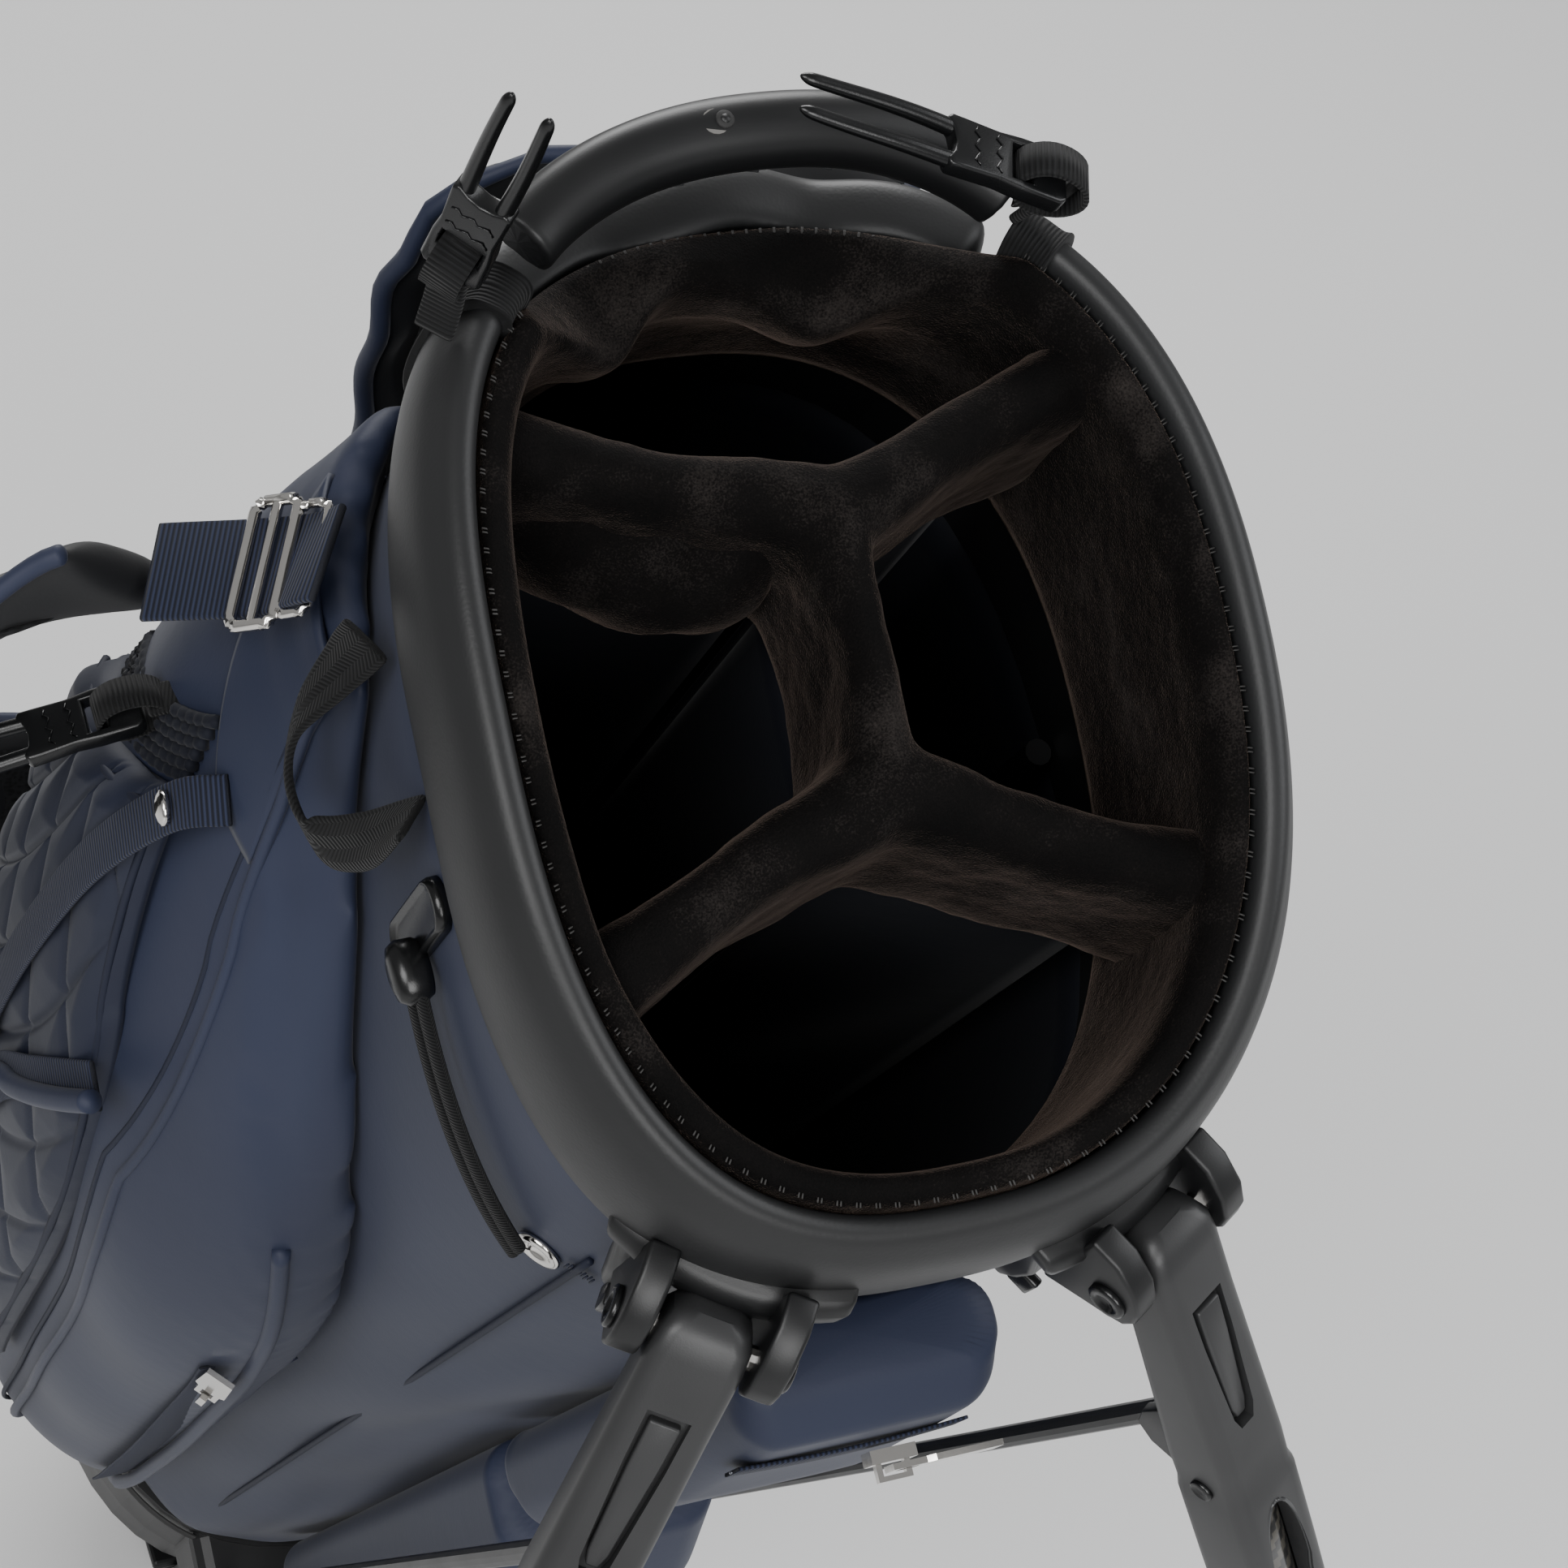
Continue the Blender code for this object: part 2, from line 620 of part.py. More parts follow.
def build_leg(side):
    name = side_name(side)
    leg = empty(f"leg_{name}_frame", leg_plane(side) @ Matrix.Rotation(-LEG_OPEN, 4, "X"), BAG)
    half = 0.011
    outline = [(0.0, 0.0084), (-0.0059, 0.0059), (-0.0084, 0.0), (-0.0084, -0.020),
               (-0.0105, -0.080), (-0.0105, -KNUCKLE_LONG), (0.0105, -KNUCKLE_LONG),
               (0.0105, -0.080), (0.0084, -0.020), (0.0084, 0.0), (0.0059, 0.0059)]
    knuckle = prism(f"leg_knuckle_{name}", outline, -half, half, "black_moulding", leg)
    round_edges(knuckle, 0.0022)
    cut(knuckle, rod(f"knuckle_pin_hole_{name}", (-0.02, 0, 0), (0.02, 0, 0), 0.0034, None, leg))
    panel = [(-0.0045, -0.018), (0.0045, -0.018), (0.0028, -0.060), (-0.0028, -0.060)]
    rings = [[Vector((x, y, z)) for x, z in panel] for y in (-0.014, -0.0074)]
    cut(knuckle, loft(f"knuckle_panel_{name}", rings, None, leg))
    cut(knuckle, rod(f"tube_bore_{name}", (0, 0, -0.090), (0, 0, -0.2), 0.0080, None, leg))
    window = [(-0.0052, -0.098), (0.0052, -0.098), (0.0052, -0.150), (-0.0052, -0.150)]
    rings = [[Vector((x, y, z)) for x, z in window] for y in (-0.014, -0.004)]
    cut(knuckle, loft(f"knuckle_window_{name}", rings, None, leg))
    for x in (-1, 1):
        low, high = sorted((x * 0.0046, x * 0.0082))
        lug = [(0.004, -0.058), (0.018, -0.069), (0.0205, -0.075), (0.018, -0.081), (0.004, -0.088)]
        add(knuckle, prism(f"rod_lug_{name}_{x}", lug, low, high, None, leg))
    rod(f"leg_tube_{name}", (0, 0, -0.0905), (0, 0, -LEG_LENGTH + 0.016), 0.0075, "carbon_tube", leg)
    build_leg_foot(side, leg)
    build_actuator_rod(side, leg)


def build_leg_foot(side, leg):
    name = f"leg_foot_{side_name(side)}"
    levels = ((-LEG_LENGTH + 0.060, 0.0100), (-LEG_LENGTH + 0.030, 0.0125),
              (-LEG_LENGTH + 0.010, 0.0165), (-LEG_LENGTH - 0.020, 0.0165))
    rings = [[Vector((x, y, z)) for x, y in circle(radius, 20)] for z, radius in levels]
    foot = loft(name, rings, "black_rubber", leg)
    cut(foot, rod(f"{name}_socket", (0, 0, -0.5), (0, 0, -LEG_LENGTH + 0.0155), 0.0079, None, leg))
    cut(foot, FLOOR_CUT)


def build_actuator_rod(side, leg):
    name = f"actuator_rod_{side_name(side)}"
    place = Matrix.Translation((0, ROD_PIVOT_IN, -ROD_PIVOT_DOWN))
    frame = empty(f"{name}_frame", place @ Matrix.Rotation(LEG_OPEN + ROD_LEAN, 4, "X"), leg)
    stick = rod(name, (0, 0, -0.002), (0, 0, -ROD_LENGTH), 0.0030, "black_moulding", frame, count=12)
    add(stick, rod(f"{name}_eye", (-0.0041, 0, 0), (0.0041, 0, 0), 0.0042, None, frame))


# Pockets
def pocket_ring(start, end, z, gap, depth, power, count=18):
    """A pouch section on the shell: the back follows the shell, the front swells outward."""
    outer, inner = [], []
    for i in range(count):
        share = i / (count - 1)
        angle = start + (end - start) * share
        swell = math.sin(math.pi * min(max(share, 0.0), 1.0)) ** power
        outer.append(shell_point(angle, z, gap + 0.003 + (depth - 0.003) * swell))
        inner.append(shell_point(angle, z, gap))
    return outer + inner[::-1]


def build_side_pockets():
    for name, back, levels in (("left", SIDE_POCKET_BACK_LEFT, SIDE_POCKET_LEFT),
                               ("right", SIDE_POCKET_BACK_RIGHT, SIDE_POCKET_RIGHT)):
        rings = [pocket_ring(back, front, z, POCKET_GAP, depth, 0.55) for z, depth, front in levels]
        loft(f"side_pocket_{name}", rings, "navy_fabric", BAG)


def pocket_at(levels, z):
    """Depth and front edge of a side pocket at a height."""
    for low, high in zip(levels, levels[1:]):
        if low[0] <= z <= high[0]:
            share = (z - low[0]) / (high[0] - low[0])
            return [low[i] + (high[i] - low[i]) * share for i in (1, 2)]
    return levels[-1][1:]


def build_pouch():
    """The quilted pouch rides on the outside of the left pocket."""
    rings = []
    levels = ((0.300, 0.004), (0.315, 0.014), (0.340, 0.017), (0.500, 0.018), (0.640, 0.012),
              (0.655, 0.010), (0.670, 0.004))
    for z, thick in levels:
        depth, front = pocket_at(SIDE_POCKET_LEFT, z)
        end = SIDE_POCKET_BACK_LEFT + POUCH_REACH * (front - SIDE_POCKET_BACK_LEFT)
        rings.append(pocket_ring(POUCH_START, end, z, POCKET_GAP + depth + 0.0028, thick, 0.45))
    loft("quilted_pouch_left", rings, "quilted_fabric", BAG)


def front_face(z):
    """How far forward the shell stands on its centre line."""
    return -shell_size(z)[1]


def build_front_pockets():
    half = 0.0345
    for name, levels in {
        "front_pocket": ((0.500, 0.020), (0.510, 0.030), (0.640, 0.034), (0.722, 0.030), (0.732, 0.018)),
        "ball_pocket": ((0.130, 0.022), (0.145, 0.042), (0.300, 0.052), (0.440, 0.050), (0.480, 0.034)),
    }.items():
        rings = []
        for z, depth in levels:
            back = front_face(z) - 0.0012
            outline = rounded_profile(2 * half, depth, min(0.010, depth * 0.4))
            rings.append([Vector((x, back - depth / 2 + y, z)) for x, y in outline])
        loft(name, rings, "navy_fabric", BAG)


def zip_frame(name, spot, outward, along):
    """Frame with y pointing out of the cloth and x along the zip."""
    across = Vector(outward).cross(Vector(along)).normalized()
    forward = Vector(outward).normalized()
    side = forward.cross(across)
    turned = Matrix((side, forward, across)).transposed().to_4x4()
    return empty(name, Matrix.Translation(spot) @ turned, BAG)


def build_zip(name, spot, outward, along):
    """A slider with a raised bridge, and a pull whose top bar turns inside the bridge's eye."""
    frame = zip_frame(f"{name}_frame", spot, outward, along)
    slider = block(f"{name}_slider", (-0.0060, -0.0012, -0.0035), (0.0060, 0.0022, 0.0035),
                   "bright_metal", frame)
    add(slider, block(f"{name}_bridge", (-0.0045, 0.0012, -0.0011), (0.0045, 0.0066, 0.0011), None, frame))
    cut(slider, block(f"{name}_eye", (-0.0030, 0.0022, -0.004), (0.0030, 0.0053, 0.004), None, frame))
    pull_frame = empty(f"{name}_pull_frame", Matrix.Translation((0, 0.0037, 0)), frame)
    outline = [(0.0009, -0.0036), (0.0009, 0.0036), (-0.0080, 0.0036), (-0.0100, 0.0050),
               (-0.0280, 0.0044), (-0.0280, -0.0044), (-0.0100, -0.0050), (-0.0080, -0.0036)]
    rings = [[Vector((x, y, z)) for x, z in outline] for y in (-0.0008, 0.0008)]
    pull = loft(f"{name}_pull", rings, "bright_metal", pull_frame)
    cut(pull, block(f"{name}_pull_window", (-0.0066, -0.004, -0.0019), (-0.0011, 0.004, 0.0019),
                    None, pull_frame))


def pocket_skin(share, z, levels, back):
    """A point on the outer skin of a side pocket, share of the way from its back to its front."""
    depth, front = pocket_at(levels, z)
    swell = math.sin(math.pi * share) ** 0.55
    return shell_point(back + (front - back) * share, z, POCKET_GAP + 0.003 + (depth - 0.003) * swell)


def build_zips():
    face = front_face(0.700) - 0.0012 - 0.0335
    build_zip("front_zip", Vector((0.010, face - 0.0030, 0.700)), (0, -1, 0), (1, 0, 0))
    for name, levels, back in (("side_zip_left", SIDE_POCKET_LEFT, SIDE_POCKET_BACK_LEFT),
                               ("side_zip_right", SIDE_POCKET_RIGHT, SIDE_POCKET_BACK_RIGHT)):
        high = pocket_skin(0.93, 0.480, levels, back)
        low = pocket_skin(0.93, 0.220, levels, back)
        outward = Vector((high.x * 0.6, -0.06, 0)).normalized()
        build_zip(name, high + outward * ZIP_STANDOFF, outward, high - low)


# Cords, loops and straps
def smooth(points, count):
    """A curve through the points, resampled evenly."""
    keys = [Vector(p) for p in points]
    keys = [keys[0] * 2 - keys[1]] + keys + [keys[-1] * 2 - keys[-2]]
    fine = []
    for a, b, c, d in zip(keys, keys[1:], keys[2:], keys[3:]):
        for i in range(20):
            t = i / 20
            fine.append(0.5 * ((b * 2) + (c - a) * t + (a * 2 - b * 5 + c * 4 - d) * t * t
                               + (b * 3 - a - c * 3 + d) * t * t * t))
    fine.append(keys[-2])
    lengths = [0.0]
    for before, after in zip(fine, fine[1:]):
        lengths.append(lengths[-1] + (after - before).length)
    path = []
    j = 0
    for i in range(count):
        target = lengths[-1] * i / (count - 1)
        while j < len(fine) - 2 and lengths[j + 1] < target:
            j += 1
        path.append(fine[j].lerp(fine[j + 1], (target - lengths[j]) / (lengths[j + 1] - lengths[j])))
    return path


def build_towel_loop():
    keys = [(-0.0975, 0.036, 0.797), (-0.1020, 0.034, 0.785), (-0.1100, 0.028, 0.770),
            (-0.1135, 0.016, 0.762), (-0.1100, 0.003, 0.760), (-0.1030, -0.004, 0.775),
            (-0.0965, -0.006, 0.797)]
    path = smooth(keys, 19)
    lifts = []
    for i in range(len(path)):
        share = i / (len(path) - 1)
        turn = math.radians(-35 + 75 * share)
        lifts.append(Vector((-math.cos(turn), math.sin(turn), -0.25)))
    profile = rounded_profile(0.0125, 0.0018, 0.0006, steps=1)
    sweep("towel_loop", path, profile, "black_webbing", BAG, up=lifts)


def bungee_run(offset, count=15):
    """One straight run of the cord from the anchor to the eyelet, raised by the offset."""
    (near, near_z), (far, far_z) = BUNGEE_NEAR, BUNGEE_FAR
    run = []
    for i in range(count):
        share = i / (count - 1)
        z = near_z + (far_z - near_z) * share + offset
        run.append(shell_point(near + (far - near) * share, z, BUNGEE_STANDOFF))
    return run


def build_bungee():
    middle = BUNGEE_NEAR[0] - 4.5
    outline = rounded_profile(0.013, 0.046, 0.0062, steps=4)
    centre = shell_point(middle, 0.770, 0.0008)
    outward = shell_normal(middle, 0.770)
    across = Vector((-outward.y, outward.x, 0)).normalized()
    rings = [[centre + across * x + Vector((0, 0, z)) + outward * y for x, z in outline]
             for y in (0.0, 0.0032)]
    loft("bungee_anchor", rings, "black_moulding", BAG)
    bend = shell_point(BUNGEE_NEAR[0] - 1.8, BUNGEE_NEAR[1], BUNGEE_STANDOFF + 0.0004)
    half = BUNGEE_SPREAD / 2
    path = bungee_run(-half)[::-1] + [bend] + bungee_run(half)
    curve = bpy.data.curves.new("bungee_cord", "CURVE")
    curve.dimensions = "3D"
    curve.bevel_depth = 0.0017
    curve.bevel_resolution = 2
    curve.use_fill_caps = True
    spline = curve.splines.new("POLY")
    spline.points.add(len(path) - 1)
    for point, spot in zip(spline.points, path):
        point.co = (*spot, 1.0)
    cord = bpy.data.objects.new("bungee_cord", curve)
    bpy.context.scene.collection.objects.link(cord)
    cord.parent = BAG
    curve.materials.append(SLOTS["black_webbing"])
    angle, level = BUNGEE_FAR[0] + 2.5, BUNGEE_FAR[1] - 0.004
    spot = shell_point(angle, level, 0.0006)
    away = shell_normal(angle, level)
    rod("bungee_grommet", spot, spot + away * 0.0022, 0.0065, "bright_metal", BAG, count=20)


def strap_lifts(path, first, last):
    """Outward directions of a bending strap, away from a centre that drifts from first to last."""
    lifts = []
    for i, point in enumerate(path):
        centre = Vector(first).lerp(Vector(last), i / (len(path) - 1))
        lifts.append((point - centre).normalized())
    return lifts


def blended_lifts(path, keys):
    """Outward direction at each path point, blended from (spot, lift) keys by closeness."""
    lifts = []
    for point in path:
        total = Vector((0, 0, 0))
        for spot, lift in keys:
            total += Vector(lift).normalized() / ((point - Vector(spot)).length_squared + 1e-6)
        lifts.append(total.normalized())
    return lifts


def build_straps():
    profile = rounded_profile(0.054, 0.014, 0.005, steps=2)
    left = [
        ((-0.020, 0.137, 0.772), (0.0, 1.0, 0.0)),
        ((-0.030, 0.148, 0.775), (-0.3, 1.0, 0.0)),
        ((-0.038, 0.151, 0.762), (-0.5, 0.8, 0.0)),
        ((-0.040, 0.148, 0.735), (-0.6, 0.8, 0.0)),
        ((-0.035, 0.145, 0.690), (-0.6, 0.8, 0.0)),
        ((-0.026, 0.143, 0.630), (-0.5, 0.9, 0.0)),
        ((-0.022, 0.140, 0.560), (-0.3, 1.0, 0.0)),
        ((-0.016, 0.140, 0.480), (-0.2, 1.0, 0.0)),
        ((-0.022, 0.144, 0.400), (-0.2, 1.0, -0.1)),
        ((-0.060, 0.152, 0.340), (-0.2, 0.9, -0.4)),
        ((-0.130, 0.150, 0.330), (-0.2, 0.7, -0.7)),
        ((-0.195, 0.135, 0.370), (-0.6, 0.5, -0.6)),
        ((-0.235, 0.115, 0.460), (-0.8, 0.5, -0.2)),
        ((-0.240, 0.098, 0.560), (-0.85, 0.5, 0.1)),
        ((-0.213, 0.088, 0.650), (-0.65, 0.65, 0.3)),
        ((-0.170, 0.082, 0.713), (-0.3, 0.85, 0.35)),
        ((-0.137, 0.078, 0.741), (0.2, 0.95, 0.2)),
    ]
    path = smooth([spot for spot, lift in left], 56)
    sweep("shoulder_strap_left", path, profile, "black_webbing", BAG, up=blended_lifts(path, left))
    right = [(0.034, 0.131, 0.772), (0.041, 0.146, 0.779), (0.047, 0.156, 0.762),
             (0.052, 0.163, 0.715), (0.052, 0.166, 0.640), (0.050, 0.160, 0.560),
             (0.046, 0.148, 0.480), (0.042, 0.131, 0.405)]
    path = smooth(right, 26)
    sweep("shoulder_strap_right", path, profile, "black_webbing", BAG,
          up=strap_lifts(path, (0.04, 0.120, 0.74), (0.04, 0.02, 0.45)))
    rings = []
    for z, half in ((0.600, 0.030), (0.640, 0.042), (0.740, 0.046), (0.7585, 0.040)):
        spots = [shell_point(90 + a, z, 0.001) for a in (-1, 0, 1)]
        back = spots[1].y
        outline = [(-half, 0.0), (half, 0.0), (half, 0.0055), (-half, 0.0055)]
        rings.append([Vector((x, back + y, z)) for x, y in outline])
    loft("strap_yoke", rings, "navy_fabric", BAG)
    web = smooth([(-0.0990, 0.0610, 0.786), (-0.1080, 0.0660, 0.767), (-0.1310, 0.0755, 0.7465)], 7)
    flat = rounded_profile(0.025, 0.0020, 0.0007, steps=1)
    sweep("strap_webbing_left", web, flat, "black_webbing", BAG)
    sleeve("strap_slider_left", web[2:5], rounded_profile(0.0262, 0.0032, 0.0010, steps=1),
           rounded_profile(0.0340, 0.0062, 0.0016, steps=1), "bright_metal", BAG)


def evaluated_bounds():
    depsgraph = bpy.context.evaluated_depsgraph_get()
    low, high = Vector((1e9,) * 3), Vector((-1e9,) * 3)
    for item in bpy.data.objects:
        if item.type not in {"MESH", "CURVE"} or item.hide_render:
            continue
        shape = item.evaluated_get(depsgraph)
        mesh = shape.to_mesh()
        for vertex in mesh.vertices:
            spot = shape.matrix_world @ vertex.co
            low = Vector(map(min, low, spot))
            high = Vector(map(max, high, spot))
        shape.to_mesh_clear()
    return low, high


def centre_on_floor():
    """Slide the whole bag level so its box is centred over the origin."""
    bpy.context.view_layer.update()
    low, high = evaluated_bounds()
    middle = (low + high) / 2
    BAG.location.x -= middle.x
    BAG.location.y -= middle.y


def lean_matrix():
    turned = Matrix.Rotation(LEAN, 4, "X")
    axis = turned @ Vector((0, FOOT_AXIS_Y, FOOT_AXIS_Z))
    return Matrix.Translation((0, 0, FOOT_AXIS_HEIGHT - axis.z)) @ turned


clear_scene()
SLOTS = make_materials()
BAG = empty("bag_frame", lean_matrix())
foot_place = Matrix.Translation((0, FOOT_AXIS_Y, FOOT_AXIS_Z)) @ Matrix.Rotation(-LEAN, 4, "X")
FOOT = empty("base_foot_frame", foot_place, BAG)
bpy.context.view_layer.update()
FLOOR_CUT = block("floor_cut", (-1, -1, -0.1), (1, 1, 0), None, None)
FLOOR_CUT.hide_render = True
FLOOR_CUT.display_type = "WIRE"

build_collar()
build_back_lip()
build_mouth_rings()
build_handle()
build_clips()
build_dividers()
build_curtain()
build_shell()
build_base()
build_base_foot()
for leg_side in (-1, 1):
    build_bracket(leg_side)
    build_leg(leg_side)
build_side_pockets()
build_pouch()
build_front_pockets()
build_zips()
build_towel_loop()
build_bungee()
build_straps()
centre_on_floor()
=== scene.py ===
"""Looks for the golf stand bag: padded mouth, plush dividers, moulded handle and legs, sewn pockets."""
import json
import math

import bmesh
import bpy
from mathutils import Matrix, Vector, noise


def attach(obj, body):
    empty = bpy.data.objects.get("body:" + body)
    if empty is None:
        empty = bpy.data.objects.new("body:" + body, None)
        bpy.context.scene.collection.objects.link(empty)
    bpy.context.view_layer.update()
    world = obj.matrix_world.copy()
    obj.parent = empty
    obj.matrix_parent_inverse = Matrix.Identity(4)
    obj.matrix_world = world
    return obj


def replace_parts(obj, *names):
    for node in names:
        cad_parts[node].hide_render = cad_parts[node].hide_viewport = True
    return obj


# Driving dimensions, in the bag's own frame: x across, y from leg side to handle side, z up the bag
LEAN = math.radians(28)
FOOT_AXIS = Vector((0, -0.100, -0.007))
RIM_Z = 0.850
OVAL_POWER = 2.5
MOUTH_A, MOUTH_B = 0.0905, 0.1205
COLLAR_TALL = 0.044
SEAM_IN = 0.0060
SHELL_TOP_A, SHELL_TOP_B = 0.0915, 0.1215
SHELL_BASE_A, SHELL_BASE_B = 0.084, 0.100
SHELL_BOTTOM = 0.090
CLOTH_LOFT = 0.0006
CORNER_SEAMS = (47.5, 132.5, 232.5, 307.5)
HINGE = Vector((0.0565, -0.129, 0.785))
LEG_SPLAY = math.radians(32)
LEG_OPEN = math.radians(43)
LEG_LENGTH = 0.754
JUNCTION_BACK = Vector((0.003, 0.0385, 0.0))
JUNCTION_FRONT = Vector((0.0015, -0.024, 0.0))
DIVIDER_DROP = 0.009
CURTAIN_BOTTOM, CURTAIN_THICK, FLAP_THICK = 0.020, 0.0009, 0.0022
COLLAR_START, COLLAR_END = 128, 412
HANDLE_START, HANDLE_END = 55, 125
HANDLE_OUT, HANDLE_RISE, HANDLE_CROWN = 0.001, 0.004, 0.012
STITCH_LONG, STITCH_RISE, STITCH_THICK = 0.0022, 0.0005, 0.00020

# Height, depth and front edge (degrees round the oval) of each pocket section
SIDE_POCKET_LEFT = (
    (0.115, 0.012, 212), (0.130, 0.034, 214), (0.200, 0.050, 217), (0.340, 0.060, 218),
    (0.500, 0.058, 217), (0.570, 0.054, 213), (0.640, 0.046, 200), (0.700, 0.034, 186),
    (0.745, 0.020, 176), (0.765, 0.014, 171), (0.775, 0.006, 169),
)
SIDE_POCKET_RIGHT = ((0.115, 0.012, -20), (0.130, 0.030, -21), (0.200, 0.044, -22),
                     (0.340, 0.050, -21), (0.500, 0.046, -15), (0.640, 0.036, -4),
                     (0.720, 0.022, 6), (0.765, 0.012, 10), (0.775, 0.006, 11))
SIDE_POCKET_BACK_LEFT, SIDE_POCKET_BACK_RIGHT = 129, 51
POCKET_GAP = 0.0014
POCKET_FULLNESS = 0.47
PUFF_VOXEL, PUFF_CAP = 0.005, 0.0028
PUFF_PRESSURE, PUFF_STEPS = 4.0, 20
POUCH_START, POUCH_REACH, POUCH_BOTTOM = 146, 0.70, 0.305
FRONT_POCKET = ((0.500, 0.020), (0.510, 0.030), (0.640, 0.034), (0.722, 0.030), (0.732, 0.018))
BALL_POCKET = ((0.130, 0.022), (0.145, 0.042), (0.300, 0.052), (0.440, 0.050), (0.480, 0.034))
FRONT_ZIP_Z = 0.700
SIDE_ZIP_LOW, SIDE_ZIP_HIGH, SIDE_ZIP_SHARE = 0.205, 0.500, 0.93
BUNGEE_NEAR, BUNGEE_FAR = (192.0, 0.764), (224.0, 0.720)
BUNGEE_SPREAD, BUNGEE_STANDOFF, BUNGEE_RADIUS = 0.008, 0.0062, 0.0017

CAMERA_SPOT = Vector((-0.302, -0.209, 1.566))
CAMERA_AIM = Vector((-0.0305, -0.0256, 0.850))
CAMERA_ROLL = math.radians(11.5)
CAMERA_LENS = 85.8

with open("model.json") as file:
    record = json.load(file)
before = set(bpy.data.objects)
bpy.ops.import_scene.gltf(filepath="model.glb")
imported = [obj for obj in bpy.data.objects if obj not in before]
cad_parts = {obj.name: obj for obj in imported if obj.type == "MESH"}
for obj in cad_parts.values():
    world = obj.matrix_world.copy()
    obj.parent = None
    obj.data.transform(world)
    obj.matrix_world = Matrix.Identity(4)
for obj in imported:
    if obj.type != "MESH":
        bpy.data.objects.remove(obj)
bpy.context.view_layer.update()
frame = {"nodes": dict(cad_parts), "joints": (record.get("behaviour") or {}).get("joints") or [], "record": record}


def joint_spot(name):
    return next(Vector(j["pos_m"]) for j in frame["joints"] if j["name"] == name)


def bag_matrix():
    turned = Matrix.Rotation(LEAN, 4, "X")
    return Matrix.Translation(joint_spot("base_foot_tilt") - turned @ FOOT_AXIS) @ turned


BAG = bag_matrix()


# Material tools
class Surface:
    """A Principled material with short calls for the nodes that give it grain and weave."""

    def __init__(self, name, colour, roughness, **uniform):
        self.material = bpy.data.materials.new(name)
        self.material.use_nodes = True
        self.tree = self.material.node_tree
        self.shader = self.tree.nodes["Principled BSDF"]
        self.shader.inputs["Base Color"].default_value = (*colour, 1)
        self.shader.inputs["Roughness"].default_value = roughness
        for socket, value in uniform.items():
            self.shader.inputs[socket.replace("_", " ")].default_value = value
        self.height = None
        place = self.node("ShaderNodeTexCoord")
        self.object = place.outputs["Object"]
        self.uv = place.outputs["UV"]

    def node(self, kind, **settings):
        made = self.tree.nodes.new(kind)
        for key, value in settings.items():
            setattr(made, key, value)
        return made

    def link(self, source, target):
        self.tree.links.new(source, target)

    def math(self, operation, first, second=None):
        made = self.node("ShaderNodeMath", operation=operation)
        for socket, value in zip(made.inputs, (first, second)):
            if value is None:
                continue
            if isinstance(value, (int, float)):
                socket.default_value = value
            else:
                self.link(value, socket)
        return made.outputs[0]

    def noise(self, scale, detail=2.0, stretch=(1, 1, 1), where=None):
        spread = self.node("ShaderNodeMapping")
        spread.inputs["Scale"].default_value = stretch
        self.link(where or self.object, spread.inputs["Vector"])
        made = self.node("ShaderNodeTexNoise")
        made.inputs["Scale"].default_value = scale
        made.inputs["Detail"].default_value = detail
        self.link(spread.outputs[0], made.inputs["Vector"])
        return made.outputs["Fac"]

    def cells(self, scale):
        made = self.node("ShaderNodeTexVoronoi", feature="SMOOTH_F1")
        made.inputs["Scale"].default_value = scale
        self.link(self.object, made.inputs["Vector"])
        return made.outputs["Distance"]

    def waves(self, period, turn=0.0, where=None, profile="SIN"):
        """Stripes of one period in metres, turned in the plane of the first two coordinates."""
        spread = self.node("ShaderNodeMapping")
        spread.inputs["Rotation"].default_value = (0, 0, turn)
        self.link(where or self.uv, spread.inputs["Vector"])
        made = self.node("ShaderNodeTexWave", wave_profile=profile)
        made.inputs["Scale"].default_value = 2 * math.pi / (20 * period)
        self.link(spread.outputs[0], made.inputs["Vector"])
        return made.outputs["Fac"]

    def ramp(self, factor, stops):
        made = self.node("ShaderNodeValToRGB")
        band = made.color_ramp
        while len(band.elements) < len(stops):
            band.elements.new(0.5)
        for element, (spot, colour) in zip(band.elements, stops):
            element.position = spot
            element.color = (*colour, 1) if len(colour) == 3 else colour
        self.link(factor, made.inputs["Fac"])
        return made.outputs["Color"]

    def colour(self, factor, stops):
        self.link(self.ramp(factor, stops), self.shader.inputs["Base Color"])

    def rough(self, factor, low, high):
        spread = self.node("ShaderNodeMapRange")
        spread.inputs["To Min"].default_value = low
        spread.inputs["To Max"].default_value = high
        self.link(factor, spread.inputs["Value"])
        self.link(spread.outputs["Result"], self.shader.inputs["Roughness"])

    def bump(self, height, distance, strength=1.0):
        made = self.node("ShaderNodeBump")
        made.inputs["Distance"].default_value = distance
        made.inputs["Strength"].default_value = strength
        self.link(height, made.inputs["Height"])
        if self.height:
            self.link(self.height, made.inputs["Normal"])
        self.height = made.outputs["Normal"]
        self.link(self.height, self.shader.inputs["Normal"])


def tint(colour, share):
    return tuple(channel * share for channel in colour)


NAVY = (0.0155, 0.0200, 0.0410)
# Navy darkened almost to black for the cloth inside the bag: painted shade of the deep interior.
INTERIOR_SHADE_NAVY = (0.0035, 0.0042, 0.0070)
CHARCOAL = (0.0125, 0.0128, 0.0133)
MOULDED = (0.0050, 0.0052, 0.0056)
WEBBING = (0.0024, 0.0025, 0.0027)


